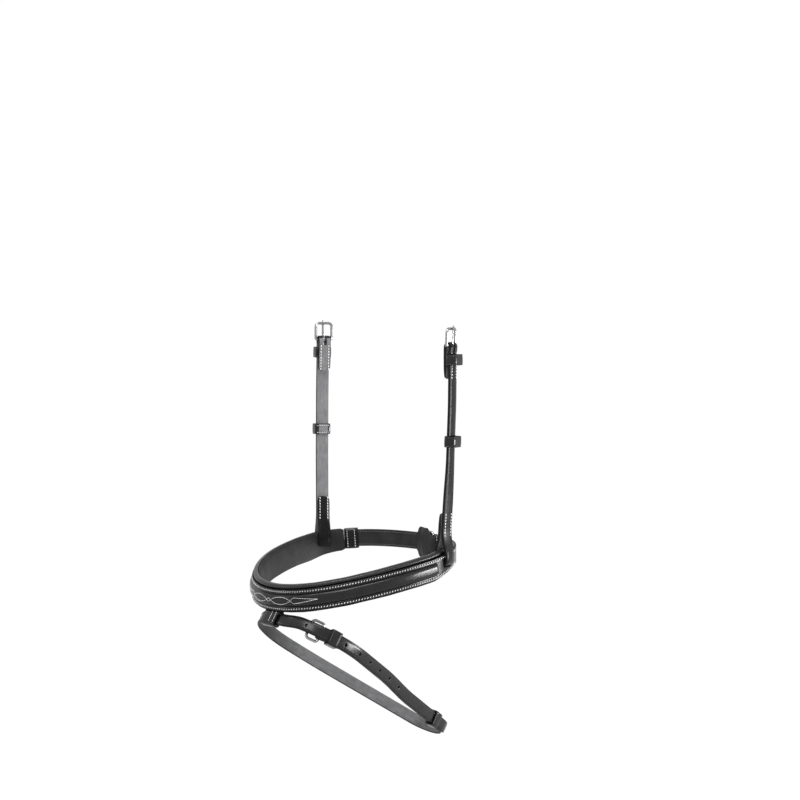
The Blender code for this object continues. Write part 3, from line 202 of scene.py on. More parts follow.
def fleshMaterial(name, dark, light, shadeFade=None):
    # The unfinished side of a strap: fibres that run along it; with a fade given, painted shade darkens it
    # towards one end
    made, nodes, links, shader = newMaterial(name, dark, fleshLook["roughness"])
    coordinates = nodes.new("ShaderNodeTexCoord")
    fibres = addNoise(nodes, links, coordinates.outputs["UV"], fleshLook["fibreSize"], 5,
                      fleshLook["fibreStretch"])
    blotches = addNoise(nodes, links, coordinates.outputs["Object"], fleshLook["blotchSize"], 4)
    blend = nodes.new("ShaderNodeMix")
    blend.inputs["Factor"].default_value = fleshLook["blotchShare"]
    links.new(fibres, blend.inputs["A"])
    links.new(blotches, blend.inputs["B"])
    shade = blend.outputs["Result"]
    stops = [(0.32, dark), (0.66, light)]
    # Painted shade: the colour falls to near black towards the low end of the object's Y
    if shadeFade:
        split = nodes.new("ShaderNodeSeparateXYZ")
        links.new(coordinates.outputs["Object"], split.inputs["Vector"])
        both = nodes.new("ShaderNodeMath")
        both.operation = "MULTIPLY"
        links.new(shade, both.inputs[0])
        links.new(addRange(nodes, links, split.outputs["Y"], 0.0, 1.0, *shadeFade), both.inputs[1])
        shade = both.outputs[0]
        stops = [(0.0, fleshLook["shadedEnd"])] + stops
    links.new(addRamp(nodes, links, shade, stops), shader.inputs["Base Color"])
    shader.inputs["Specular IOR Level"].default_value = fleshLook["specular"]
    sheen = fleshLook["shadedEndSheen"] if shadeFade else fleshLook["sheen"]
    shader.inputs["Sheen Weight"].default_value = sheen
    shader.inputs["Sheen Roughness"].default_value = 0.6
    addBump(nodes, links, shader, [(fibres, *fleshLook["fibreBump"]),
                                   (blotches, *fleshLook["blotchBump"])])
    return made


def threadMaterial(name, colour):
    made, nodes, links, shader = newMaterial(name, colour, threadLook["roughness"])
    place = nodes.new("ShaderNodeTexCoord").outputs["Object"]
    fuzz = addNoise(nodes, links, place, threadLook["fuzzSize"], 2)
    shade = tuple(c * threadLook["shade"] for c in colour)
    links.new(addRamp(nodes, links, fuzz, [(0.35, shade), (0.65, colour)]), shader.inputs["Base Color"])
    addBump(nodes, links, shader, [(fuzz, *threadLook["fuzzBump"])])
    return made


def steelMaterial():
    smooth, middle, rough = steelLook["roughness"]
    made, nodes, links, shader = newMaterial("polishedSteel", steelLook["colour"], middle, 1.0)
    place = nodes.new("ShaderNodeTexCoord").outputs["Object"]
    smears = addNoise(nodes, links, place, steelLook["smearSize"], 3)
    scratches = addNoise(nodes, links, place, steelLook["scratchSize"], 2, steelLook["scratchStretch"])
    links.new(addRange(nodes, links, smears, smooth, rough), shader.inputs["Roughness"])
    addBump(nodes, links, shader, [(scratches, *steelLook["scratchBump"])])
    return made


# Dark and light tone, roughness, shine, grain's bump and its fineness
black, deepBlack = (0.0065, 0.0065, 0.0068), (0.0035, 0.0035, 0.0038)
bridleLeather = leatherMaterial("bridleLeather", deepBlack, black, 0.22, 0.32, 0.05)
hangerLeather = leatherMaterial("hangerLeather", deepBlack, black, 0.27, 0.13, 0.05)
liningLeather = leatherMaterial("liningLeather", (0.013, 0.013, 0.0133), (0.023, 0.023, 0.0234), 0.52,
                                0.14, 0.16, 0.8)
rollLeather = leatherMaterial("rollLeather", (0.0075, 0.0075, 0.0078), (0.013, 0.013, 0.0133), 0.27, 0.30,
                              0.12, 0.8)
edgeDye = leatherMaterial("edgeDye", (0.0028, 0.0028, 0.003), (0.0055, 0.0055, 0.0058), 0.46, 0.13,
                          0.25, 1.4)
fleshSide = fleshMaterial("fleshSide", (0.070, 0.070, 0.072), (0.150, 0.150, 0.153))
flashFlesh = fleshMaterial("flashFlesh", (0.050, 0.050, 0.051), (0.105, 0.105, 0.107),
                           (-0.088, -0.042))  # painted shade: dark at its front, along Y
darkFlesh = fleshMaterial("darkFlesh", (0.018, 0.018, 0.019), (0.040, 0.040, 0.041))
whiteThread = threadMaterial("whiteThread", (0.84, 0.84, 0.83))
greyThread = threadMaterial("greyThread", (0.10, 0.10, 0.10))
blackThread = threadMaterial("blackThread", (0.018, 0.018, 0.019))
steel = steelMaterial()
print("materials made")


# Pieces: how meshes are made, sewn and handed to the frame

def meshObject(name, bm, materials, sharp=38):
    bmesh.ops.recalc_face_normals(bm, faces=bm.faces)
    mesh = bpy.data.meshes.new(name)
    bm.to_mesh(mesh)
    bm.free()
    for one in materials:
        mesh.materials.append(one)
    mesh.shade_smooth()
    mesh.set_sharp_from_angle(angle=math.radians(sharp))
    obj = bpy.data.objects.new(name, mesh)
    bpy.context.scene.collection.objects.link(obj)
    return obj


def sweepRows(name, rows, zones, materials, closed=False, sharp=38):
    # A body through rows of points round it, with its UVs in metres along and round
    bm = bmesh.new()
    uv = bm.loops.layers.uv.new("run")
    around = len(rows[0])
    middles = [sum(row, Vector()) / around for row in rows]
    count = len(rows)
    us = [0.0]
    for i in range(count):
        us.append(us[-1] + (middles[(i + 1) % count] - middles[i]).length)
    widest = max(rows, key=lambda row: (row[0] - row[around // 2]).length)
    vs = [0.0]
    for j in range(around):
        vs.append(vs[-1] + (widest[(j + 1) % around] - widest[j]).length)
    verts = [[bm.verts.new(p) for p in row] for row in rows]
    for i in range(count if closed else count - 1):
        after = verts[(i + 1) % count]
        for j in range(around):
            k = (j + 1) % around
            face = bm.faces.new((verts[i][j], verts[i][k], after[k], after[j]))
            face.material_index = zones[j]
            places = ((us[i], vs[j]), (us[i], vs[j + 1]), (us[i + 1], vs[j + 1]), (us[i + 1], vs[j]))
            for loop, place in zip(face.loops, places):
                loop[uv].uv = place
    if not closed:
        for row in (verts[0], list(reversed(verts[-1]))):
            bm.faces.new(row).material_index = min(1, len(materials) - 1)
    return meshObject(name, bm, materials, sharp)


def applyModifiers(obj):
    shaped = obj.evaluated_get(bpy.context.evaluated_depsgraph_get())
    mesh = bpy.data.meshes.new_from_object(shaped)
    obj.modifiers.clear()
    obj.data = mesh
    return obj


def cutAway(obj, cutters):
    for cutter in cutters:
        boolean = obj.modifiers.new("cut", "BOOLEAN")
        boolean.operation = "DIFFERENCE"
        boolean.solver = "EXACT"
        boolean.object = cutter
    applyModifiers(obj)
    for cutter in cutters:
        cutter.hide_render = True
    return obj


def dropCutters(cutters):
    for cutter in cutters:
        bpy.data.objects.remove(cutter, do_unlink=True)


def boxCutter(place, low, high):
    bm = bmesh.new()
    bmesh.ops.create_cube(bm, size=1.0)
    low, high = Vector(low), Vector(high)
    bmesh.ops.scale(bm, vec=high - low, verts=bm.verts)
    bmesh.ops.translate(bm, vec=(low + high) / 2, verts=bm.verts)
    bm.transform(place)
    return meshObject("cutter", bm, [edgeDye])


def roundCutter(centre, axis, radius, length):
    bm = bmesh.new()
    bmesh.ops.create_cone(bm, cap_ends=True, segments=28, radius1=radius, radius2=radius, depth=length)
    bm.transform(Matrix.Translation(centre) @ axis.to_track_quat("Z", "Y").to_matrix().to_4x4())
    return meshObject("cutter", bm, [edgeDye])


def hand(obj, body, nodes=()):
    if body:
        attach(obj, body)
    if nodes:
        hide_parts(*nodes)
    return obj


def resample(path, size):
    points = [Vector(p) for p in path]
    marks = [0.0]
    for a, b in zip(points, points[1:]):
        marks.append(marks[-1] + (b - a).length)
    count = max(3, int(round(marks[-1] / size)) + 1)
    wanted = np.linspace(0, marks[-1], count)
    columns = [np.interp(wanted, marks, [p[i] for p in points]) for i in range(2)]
    return [(float(a), float(b)) for a, b in zip(*columns)]


def smoothPath(path, size, rounds=2):
    # An even, rounded run through the given places, with its ends kept
    points = resample(path, size)
    for _ in range(rounds):
        inner = [((a[0] + 2 * b[0] + c[0]) / 4, (a[1] + 2 * b[1] + c[1]) / 4)
                 for a, b, c in zip(points, points[1:], points[2:])]
        points = [points[0]] + inner + [points[-1]]
    return resample(points, size)


def spineOf(path, axesAt, sign=1, closed=False):
    # Places with their face and side directions; axesAt gives place, two axes and the side
    spine = []
    last = len(path) - 1
    for i, (a, b) in enumerate(path):
        before = path[i - 1] if i or closed else path[i]
        after = path[(i + 1) % len(path)] if i < last or closed else path[i]
        da, db = after[0] - before[0], after[1] - before[1]
        place, first, second, side = axesAt(a, b)
        face = (second * da - first * db) * sign
        spine.append((place, face.normalized(), side))
    return spine


strapShape = {"crease": 0.0013, "creaseWidth": 0.00028, "creaseDepth": 0.00016, "bevel": 0.0007,
              "crown": 0.0001, "wireSides": 14}
keeperShape = {"leather": 0.0014, "room": 0.0004, "corner": 0.0013, "crease": 0.0011, "step": 0.0008}


def strapProfile(half, thick, crease=strapShape["crease"], crown=0.0):
    # Places (across, up) of a strap's section, from one edge over the face to the other and back
    h = thick / 2
    r = min(thick * 0.3, strapShape["bevel"], half * 0.5)
    inset = min(crease, half * 0.5)
    wide = min(strapShape["creaseWidth"], half * 0.1)
    deep = strapShape["creaseDepth"]
    side = [(half, 0), (half - r * 0.08, h - r * 1.1), (half - r * 0.4, h - r * 0.35),
            (half - r, h - r * 0.04)]
    if crease:
        side += [(half - inset + wide, h), (half - inset, h - deep), (half - inset - wide, h)]
    else:
        side += [(half - r * 1.5, h), (half * 0.7, h + crown * 0.5), (half * 0.55, h + crown * 0.7)]
    top = side + [(half * 0.4, h + crown), (0, h + crown)]
    under = [(half * 0.5, -h), (half - r, -h + r * 0.04), (half - r * 0.4, -h + r * 0.35),
             (half - r * 0.08, -h + r * 1.1)]
    mirrored = [(-s, t) for s, t in reversed(top[:-1])]
    back = [(-s, t) for s, t in reversed(under)]
    return top + mirrored + back + [(0, -h)] + under


def strapZones():
    # Which material each face of the section takes: grain, edge or flesh
    count = len(strapProfile(0.01, 0.003))
    zones = []
    for j in range(count):
        if j < 3 or 13 <= j <= 16:
            zones.append(1)
        elif j < 13:
            zones.append(0)
        elif j in (17, count - 1, 18, count - 2):
            zones.append(1)
        else:
            zones.append(2)
    return zones


def layStrap(name, spine, halves, thick, materials, closed=False, crease=strapShape["crease"], crown=0.0,
             thicks=None):
    rows = []
    for i, (place, face, side) in enumerate(spine):
        half = halves[i] if isinstance(halves, list) else halves
        depth = thicks[i] if thicks else thick
        rows.append([place + side * s + face * t for s, t in strapProfile(half, depth, crease, crown)])
    return sweepRows(name, rows, strapZones(), materials, closed, 32)


def roundedBox(low, high, corner, parts=5, frontCorner=None):
    # Outline of a box with round corners; the corners at its high end may differ
    points = []
    other = frontCorner or corner
    corners = [((high[0] - other, low[1] + other), other), ((high[0] - other, high[1] - other), other),
               ((low[0] + corner, high[1] - corner), corner),
               ((low[0] + corner, low[1] + corner), corner)]
    for index, (centre, radius) in enumerate(corners):
        for i in range(parts + 1):
            turn = (index - 1 + i / parts) * math.pi / 2
            points.append((centre[0] + radius * math.cos(turn), centre[1] + radius * math.sin(turn)))
    return points


def arcPoints(centre, radius, start, end, parts):
    turns = [start + (end - start) * i / parts for i in range(parts + 1)]
    return [(centre[0] + radius * math.cos(t), centre[1] + radius * math.sin(t)) for t in turns]


def matrixAxes(place, first, second, side):
    # For paths drawn in a flat plane of a frame
    turn = place.to_3x3()
    a, b, c = turn.col[first], turn.col[second], turn.col[side]

    def axesAt(u, v):
        return place.translation + a * u + b * v, a, b, c

    return axesAt


def keeperLoop(name, spot, low, high, width, materials, frontCorner=None, corner=keeperShape["corner"]):
    # A keeper round the space from low to high, in the frame's XY plane
    wall = keeperShape["leather"]
    outline = roundedBox((low[0] - wall / 2, low[1] - wall / 2), (high[0] + wall / 2, high[1] + wall / 2),
                         corner, 5, frontCorner)
    path = resample(outline + [outline[0]], keeperShape["step"])[:-1]
    spine = spineOf(path, matrixAxes(spot, 0, 1, 2), -1, True)
    return layStrap(name, spine, width / 2, wall, materials, True, keeperShape["crease"],
                    strapShape["crown"])


def tipReach(count, size, ends):
    # How far each row of a strap lies from the ends that are worked
    fromFirst = [i if ends[0] else count for i in range(count)]
    fromLast = [count - 1 - i if ends[1] else count for i in range(count)]
    return [min(a, b) * size for a, b in zip(fromFirst, fromLast)]


def tipHalves(count, half, size, length, ends=(True, True), least=0.35):
    # Half widths along a strap whose ends are rounded off over a length
    halves = []
    for reach in tipReach(count, size, ends):
        share = math.sqrt(max(0.0, 1 - max(0.0, 1 - reach / length) ** 2))
        halves.append(half * mix(least, 1.0, share))
    return halves


def tipThicks(count, thick, size, length, ends, least):
    # Thicknesses along a strap whose ends are skived over a length
    return [thick * mix(least, 1.0, smoothStep(reach / length)) for reach in tipReach(count, size, ends)]


def tubeLoop(name, outline, radius, place, materials):
    # A closed wire with a round section, along an outline in the frame's XY plane
    count, sides = len(outline), strapShape["wireSides"]
    turn = place.to_3x3()
    rows = []
    for i, (x, y) in enumerate(outline):
        before, after = outline[i - 1], outline[(i + 1) % count]
        along = Vector((after[0] - before[0], after[1] - before[1], 0)).normalized()
        out = Vector((along.y, -along.x, 0))
        row = []
        for k in range(sides):
            turned = 2 * math.pi * k / sides
            p = Vector((x, y, 0)) + out * radius * math.cos(turned)
            row.append(place.translation + turn @ (p + Vector((0, 0, radius * math.sin(turned)))))
        rows.append(row)
    return sweepRows(name, rows, [0] * sides, materials, True, 80)


def sewStitches(name, seats, length, radius, material, slant=0.0, sink=0.45):
    # One short thread at every seat: (place, direction, face)
    bm = bmesh.new()
    marks = (-1.0, -0.82, -0.45, 0.0, 0.45, 0.82, 1.0)
    sizes = (0.35, 0.8, 0.98, 1.0, 0.98, 0.8, 0.35)  # how thick the thread is at each mark
    for place, along, face in seats:
        side = face.cross(along).normalized()
        along = (along * math.cos(slant) + side * math.sin(slant)).normalized()
        side = face.cross(along).normalized()
        rings = []
        for mark, size in zip(marks, sizes):
            centre = place + along * (mark * length / 2) + face * radius * (sink - 1.1 * mark ** 4)
            rings.append([bm.verts.new(centre + (side * math.cos(k * math.pi / 3)
                                                 + face * math.sin(k * math.pi / 3)) * radius * size)
                          for k in range(6)])
        for a, b in zip(rings, rings[1:]):
            for k in range(6):
                bm.faces.new((a[k], a[(k + 1) % 6], b[(k + 1) % 6], b[k]))
        bm.faces.new(rings[0])
        bm.faces.new(list(reversed(rings[-1])))
    return meshObject(name, bm, [material], 180)


# Nosepiece

nose = {"height": 0.0200, "endHeight": 0.0156, "drop": 0.0015, "skin": 0.0015, "backing": 0.0018,
        "padDepth": 0.0052, "padEndDepth": 0.0042, "padProud": 0.0035, "taper": 0.050,
        "pastHanger": 0.024, "raiseProud": 0.0022, "raiseEnd": 0.0155, "raiseRunOut": 0.0035,
        "shoulder": ((0.20, 0.0052), (0.44, 0.0049), (0.66, 0.0045), (0.81, 0.0040), (0.92, 0.0033),
                     (0.98, 0.0023), (1.0, 0.0011)), "raiseCrease": 0.00045,
        "sewnIn": 0.0019, "sewnDepth": 0.00026, "rowDepth": 0.00018, "stitchPitch": 0.00275,
        "stitchLength": 0.00175, "stitchRadius": 0.00036, "slant": 0.90, "endMargin": 0.002,
        "closing": 0.15, "closingRun": 0.004, "pucker": 0.00014, "flashRoom": 0.0006, "soft": 0.00035,
        "seam": 0.0009, "hangerAt": math.radians(105), "padAtHanger": 0.00455}
hangerRun = runAt(nose["hangerAt"])
noseEnd = hangerRun + nose["pastHanger"]
raiseEnd = hangerRun - nose["raiseEnd"]


def noseTaper(run):
    return smoothStep((noseEnd - abs(run)) / nose["taper"])


def noseHalf(run):
    return mix(nose["endHeight"], nose["height"], noseTaper(run)) / 2


def strapMiddle(run):
    return -nose["drop"] * noseTaper(run)


def raiseShare(run):
    return smoothStep((raiseEnd - abs(run)) / nose["raiseRunOut"])


def noseSection(run):
    # (depth, height) round the face leather, from its top edge over the raise and back inside
    half, lift = noseHalf(run), raiseShare(run)
    row = half - nose["sewnIn"]
    raised = nose["raiseProud"] * lift
    crease = nose["raiseCrease"] * lift
    upper = [(-0.0011, half), (-0.0006, half), (-0.00025, half - 0.0001), (-0.00006, half - 0.00035),
             (0, half - 0.0007), (0, row + 0.0006), (-0.00012, row + 0.0003), (-nose["sewnDepth"], row),
             (-0.00012, row - 0.0003), (0, row - 0.0006), (0, 0.0064), (-crease * 0.3, 0.0060),
             (-crease, 0.0056), (-crease * 0.8, 0.00545)]
    upper += [(raised * share, height) for share, height in nose["shoulder"]]
    lower = [(d, -h) for d, h in reversed(upper)]
    back = [(-nose["skin"], -half + 0.0003), (-nose["skin"], half - 0.0003)]
    return upper + lower + back


raiseRuns = [s * (raiseEnd - nose["raiseRunOut"] * k / 6) for s in (1, -1) for k in range(7)]
noseRuns = sorted(set(steps(-noseEnd, noseEnd, 0.0022) + raiseRuns))


def makeNoseFace(cutters):
    rows = []
    for run in noseRuns:
        middle = strapMiddle(run)
        rows.append([ringPlace(run, d, middle + h) for d, h in noseSection(run)])
    count = len(rows[0])
    zones = [1 if j < 2 or j > count - 5 else 0 for j in range(count)]
    zones[count - 2] = 2
    obj = sweepRows("noseFace", rows, zones, [bridleLeather, edgeDye, darkFlesh], False, 50)
    cutAway(obj, cutters)
    return hand(obj, "noseband", ("nose_outer_strap", "nose_raise_filler"))


def makeNoseBacking(cutters):
    rows = []
    for run in steps(-noseEnd + gap, noseEnd - gap, 0.004):
        half, middle = noseHalf(run) - 0.0004, strapMiddle(run)
        front, back = -nose["skin"] - 0.0001, -nose["skin"] - nose["backing"] - 0.0003
        section = [(front, half - 0.0002), (front - 0.0003, half), (back + 0.0003, half),
                   (back, half - 0.0002)]
        section += [(d, -h) for d, h in reversed(section)]
        rows.append([ringPlace(run, d, middle + h) for d, h in section])
    obj = sweepRows("noseBacking", rows, [1] * 8, [bridleLeather, edgeDye], False, 50)
    cutAway(obj, cutters)
    return hand(obj, "noseband", ("nose_backing",))


def liningSection(run):
    # (depth, height) round the padded lining: it rolls out over the strap's upper and lower edges
    half, middle, taper = noseHalf(run), strapMiddle(run), noseTaper(run)
    face = -nose["skin"] - nose["backing"] - 2 * gap
    deep = mix(nose["padEndDepth"], nose["padDepth"], taper)
    edge = half + nose["padProud"]
    section = []
    for sign in (1, -1):
        rim = sign * (middle + sign * half)  # how far the strap's edge stands from the ring's middle
        rise = edge - rim
        front = mix(face - 0.0004, -0.0013 if sign > 0 else -0.0022, taper)
        centre = (front + face - deep) / 2
        reach = front - centre
        part = [(face, rim - 0.0020), (face, rim - 0.0004), (face + 0.0008 * taper, rim + 0.0002)]
        for turned in (-28, -8, 12, 32, 52, 72, 88, 98, 104, 110, 126, 146, 164):
            t = math.radians(turned)
            lift = max(rise - 0.0010, 0.0010)
            seam = nose["seam"] * taper if turned == 104 else 0.0  # roll and lining are sewn together
            high = rim + 0.0010 + lift * 0.32 + (lift * 0.68) * math.sin(t) - seam
            high -= 0.0 if sign > 0 else nose["flashRoom"] * taper * max(0.0, math.sin(t))
            part.append((centre + reach * math.cos(t), high))
        part += [(face - deep * 0.97, edge * 0.62), (face - deep, edge * 0.40)]
        section.append([(d, sign * h) for d, h in part])
    inside = [(face, -0.002), (face, 0.002)]
    return section[0] + [(face - deep, 0)] + list(reversed(section[1])) + inside


def makeNoseLining(cutters):
    rows = []
    for run in steps(-noseEnd, noseEnd, nose["stitchPitch"] / 4):
        section = liningSection(run)
        closing = 1 - smoothStep((noseEnd - abs(run)) / nose["closingRun"])  # the ends are drawn together
        pull = math.cos(2 * math.pi * run / nose["stitchPitch"])
        row = []
        for j, (d, h) in enumerate(section):
            near = max(0.0, 1 - abs(abs(h) - noseHalf(run) - 0.0012) / 0.0035)
            seam = 1.0 if d > -0.0075 else 0.35
            spot = ringPlace(run, d, h)
            soft = noise.noise(spot * 38) * nose["soft"] + noise.noise(spot * 140) * nose["soft"] * 0.25
            wave = pull * nose["pucker"] * near * seam
            swell = (soft + wave) * (1.0 if abs(h) > noseHalf(run) * 0.5 or d < -0.006 else 0.0)
            middle = -0.0062
            away = Vector((d - middle, h * 0.6))
            away = away.normalized() if away.length else away
            d, h = d + away.x * swell, h + away.y * swell
            d, h = mix(d, middle, closing * nose["closing"]), h * (1 - 0.10 * closing)
            row.append(ringPlace(run, d, h))
        rows.append(row)
    zones = [1 if j <= 10 or j >= 25 else 0 for j in range(len(rows[0]))]  # the rolls are glossier
    obj = sweepRows("noseLining", rows, zones, [liningLeather, rollLeather], False, 60)
    cutAway(obj, cutters)
    hand(obj, "noseband", ("nose_lining", "nose_foam"))
    return obj


def onNose(run, depth, height):
    point, along, out, up = ringAxes(run)
    return point + out * depth + up * (strapMiddle(run) + height), along, out


def nosePlaces(heightAt, start, end, pitch, depthAt):
    # Seats for stitches that follow a line on the nosepiece
    seats = []
    for run in steps(start, end, pitch)[:-1]:
        middle = run + pitch / 2
        a, _, out = onNose(middle - pitch / 3, depthAt(middle), heightAt(middle - pitch / 3))
        b, _, _ = onNose(middle + pitch / 3, depthAt(middle), heightAt(middle + pitch / 3))
        seats.append(((a + b) / 2, (b - a).normalized(), out))
    return seats


def makeNoseStitching():
    seats = []
    reach = noseEnd - nose["endMargin"]
    for sign in (1, -1):
        seats += nosePlaces(lambda run: sign * (noseHalf(run) - nose["sewnIn"]), -reach, reach,
                            nose["stitchPitch"], lambda run: -nose["rowDepth"])
    obj = sewStitches("noseStitching", seats, nose["stitchLength"], nose["stitchRadius"], whiteThread,
                        nose["slant"])
    return hand(obj, "noseband")


fancy = {"diamond": 0.0027, "diamondHigh": 0.0019, "lens": 0.0270, "lensHigh": 0.0034, "point": 0.0545,
         "pointHigh": 0.0028, "pointWidest": 0.14, "pitch": 0.00175, "length": 0.0014, "radius": 0.00021}


def fancyHeights():
    # Generic fancy stitching on the raise: a diamond, a lens and a long point on each side
    def diamondAt(run):
        return fancy["diamondHigh"] * (1 - abs(run) / fancy["diamond"])

    def lensAt(run):
        share = (abs(run) - fancy["diamond"]) / (fancy["lens"] - fancy["diamond"])
        return fancy["lensHigh"] * math.sin(math.pi * min(1.0, max(0.0, share))) ** 0.8

    def pointAt(run):
        share = (abs(run) - fancy["lens"]) / (fancy["point"] - fancy["lens"])
        widest = fancy["pointWidest"]
        if share < widest:
            return fancy["pointHigh"] * math.sin(math.pi / 2 * max(0.0, share) / widest)
        return fancy["pointHigh"] * max(0.0, 1 - (share - widest) / (1 - widest))

    return [(0.0, fancy["diamond"], diamondAt), (fancy["diamond"], fancy["lens"], lensAt),
            (fancy["lens"], fancy["point"], pointAt)]


def raiseDepth(height):
    share = abs(height) / 0.0052
    return nose["raiseProud"] * (1.02 - 0.10 * share ** 3)


def makeFancyStitching():
    seats = []
    for start, end, heightAt in fancyHeights():
        for side in (1, -1):
            for sign in (1, -1):
                line = lambda run: sign * heightAt(run)
                seats += nosePlaces(line, side * start, side * end, fancy["pitch"] * side,
                                    lambda run: raiseDepth(line(run)) - 0.00003)
    obj = sewStitches("noseFancyStitching", seats, fancy["length"], fancy["radius"], whiteThread, sink=0.5)
    return hand(obj, "noseband")


# Hangers. Frame of each: X outwards, Y along the band, Z up the hanger

hanger = {"width": 0.0130, "leather": 0.0029, "rise": 0.1860, "runs": (0.070, 0.060, 0.034),
          "bow": math.radians(1.5), "leanOut": 0.021, "leanBack": 0.025, "tab": 0.028, "turned": 0.031,
          "hingeInset": 0.0045, "buckleLength": 0.0165, "keeperWidth": 0.0105,
          "billetRoom": 0.0046, "keeperBelow": 0.0128, "runnerAbove": 0.026, "solidLeather": 0.0030,
          "twist": math.radians(10), "twistFrom": 0.016, "twistUntil": 0.084, "untwist": 0.050,
          "footRoom": 0.0013, "slotShare": 0.62, "turnedGap": 0.0019, "step": 0.0016, "tip": 0.0042,
          "skive": 0.012, "bend": (-0.005, 0.014), "keeperCorners": (0.0011, 0.0022),
          "tongueSlot": (Vector((-0.008, -0.0017, -0.0055)), Vector((0.008, 0.0017, 0.010))),
          "rowInset": 0.0024, "outerTabRow": (0.0035, 0.0265), "innerTabRow": (0.0065, 0.0265),
          "topRow": (0.0295, 0.0065), "stitchPitch": 0.0029, "stitchLength": 0.0019,
          "stitchRadius": 0.00042, "slant": 0.15}
wire = {"radius": 0.0014, "sideRoom": 0.0005, "corner": 0.0019, "frontCorner": 0.0034,
        "tongueWidth": 0.0024, "tongue": 0.0012, "tonguePast": 0.0018}
bandDepth = nose["skin"] + nose["backing"] + 2 * gap + nose["padAtHanger"]
bandTop = noseHalf(hangerRun) + nose["padProud"]
knuckle = hanger["solidLeather"] + gap
hingeHeight = bandTop + hanger["footRoom"] + hanger["solidLeather"] / 2 + knuckle + gap
slotHeight = bandTop - hanger["slotShare"] * 2 * bandTop


def hangerFrame(side):
    phi = side * nose["hangerAt"]
    point, along = ringPoint(phi), ringSlope(phi)
    out = along.cross(Vector((0, 0, 1))).normalized()
    out = Vector((out.x, out.y, 0)).normalized()
    lean = (Vector((0, 0, 1)) + Vector((side * hanger["leanOut"], hanger["leanBack"], 0))).normalized()
    across = lean.cross(out).normalized()
    turn = Matrix((across.cross(lean), across, lean)).transposed().to_4x4()
    turn.translation = point
    return turn


hangerFrames = [hangerFrame(1), hangerFrame(-1)]


def hangerLine():
    runs = list(hanger["runs"])
    runs.append(hanger["rise"] - sum(runs))
    out, up = knuckle / 2, 0.0
    points = [(out, up)]
    for step, run in enumerate(runs):
        out += run * math.tan(hanger["bow"] * (1 - step))
        up += run
        points.append((out, up))
    return points


def lineOut(up):
    points = hangerLine()
    return float(np.interp(up, [p[1] for p in points], [p[0] for p in points]))


def hangerPath():
    # From the tab's end down inside the band, through the slot, up outside and round the bar
    inset, base = -hanger["hingeInset"], hingeHeight
    layers = hanger["leather"] + hanger["turnedGap"]
    tabOut = inset - knuckle / 2
    slot = slotHeight
    path = [(tabOut + 0.0006, base + hanger["tab"]), (tabOut + 0.0002, base + 0.010),
            (tabOut, base + 0.0058), (tabOut - 0.0004, base + 0.0022), (-0.0081, base - 0.0025),
            (-0.0096, base - 0.0075), (-0.0104, 0.0055), (-0.0106, slot + 0.0050),
            (-0.0102, slot + 0.0022), (-0.0086, slot + 0.0004), (-0.006, slot)]  # down to the slot
    path += [(-0.0020, slot), (0.0000, slot + 0.0006), (0.0014, slot + 0.0022), (0.0018, slot + 0.0048),
             (0.0017, 0.0060), (0.0012, 0.0098), (0.0004, 0.0130), (-0.0006, 0.0170), (-0.0015, 0.0210),
             (inset + lineOut(0.009) + 0.0001, base + 0.009)]  # and up outside the band
    barOut, barUp = lineOut(hanger["rise"]) - (hanger["leather"] + gap) / 2, hanger["rise"]
    fold = wire["radius"] + 0.0002 + hanger["leather"] / 2
    closing = barUp - 2.6 * fold
    path += [(inset + lineOut(up), base + up) for up in steps(0.014, closing, 0.006)]
    roundBar = arcPoints((barOut, barUp), fold, -0.25, math.pi + 0.25, 14)
    path += [(inset + x, base + y) for x, y in roundBar]
    path.append((inset + lineOut(closing) - layers, base + closing))
    turned = barUp - hanger["turned"]
    path.append((inset + lineOut(turned) - layers, base + turned))
    return path


def hangerTwist(side, up):
    # The near hanger turns its face a little to the front, between the slot and its runner
    high = up - hingeHeight
    grow = smoothStep((high + hanger["twistFrom"]) / hanger["twistFrom"])
    turned = hanger["twist"] * grow * smoothStep((hanger["twistUntil"] - high) / hanger["untwist"])
    return Matrix.Rotation(-turned if side > 0 else 0.0, 3, "Z")


def makeHangerStrap(side, sideName, place):
    size = hanger["step"]
    path = smoothPath(hangerPath(), size, 2)
    spine = spineOf(path, matrixAxes(place, 0, 2, 1), -1)
    spine = [(spot, hangerTwist(side, up) @ face, hangerTwist(side, up) @ across)
             for (spot, face, across), (_, up) in zip(spine, path)]
    half = hanger["width"] / 2
    count = len(spine)
    halves = tipHalves(count, half, size, hanger["tip"], (True, True), 0.30)
    thicks = tipThicks(count, hanger["leather"], size, hanger["skive"], (True, True), 0.55)
    obj = layStrap(sideName + "HangerStrap", spine, halves, hanger["leather"],
                   [hangerLeather, edgeDye, fleshSide], crown=strapShape["crown"], thicks=thicks)
    crest = max(range(count), key=lambda i: path[i][1])
    around = len(strapProfile(half, hanger["leather"]))
    for face in list(obj.data.polygons)[(crest + 2) * around:]:
        face.material_index = 2 if face.material_index == 0 else face.material_index  # flesh side out
    barOut, barUp = lineOut(hanger["rise"]) - (hanger["leather"] + gap) / 2, hanger["rise"]
    centre = Vector((barOut - hanger["hingeInset"], 0, barUp + hingeHeight))
    low, high = hanger["tongueSlot"]
    cutters = [boxCutter(place, centre + low, centre + high)]
    cutAway(obj, cutters)
    dropCutters(cutters)
    hand(obj, None, (sideName + "_hanger_strap", sideName + "_hanger_loop"))
    bendHanger(obj)
    return obj


def bendHanger(obj):
    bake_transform(obj)


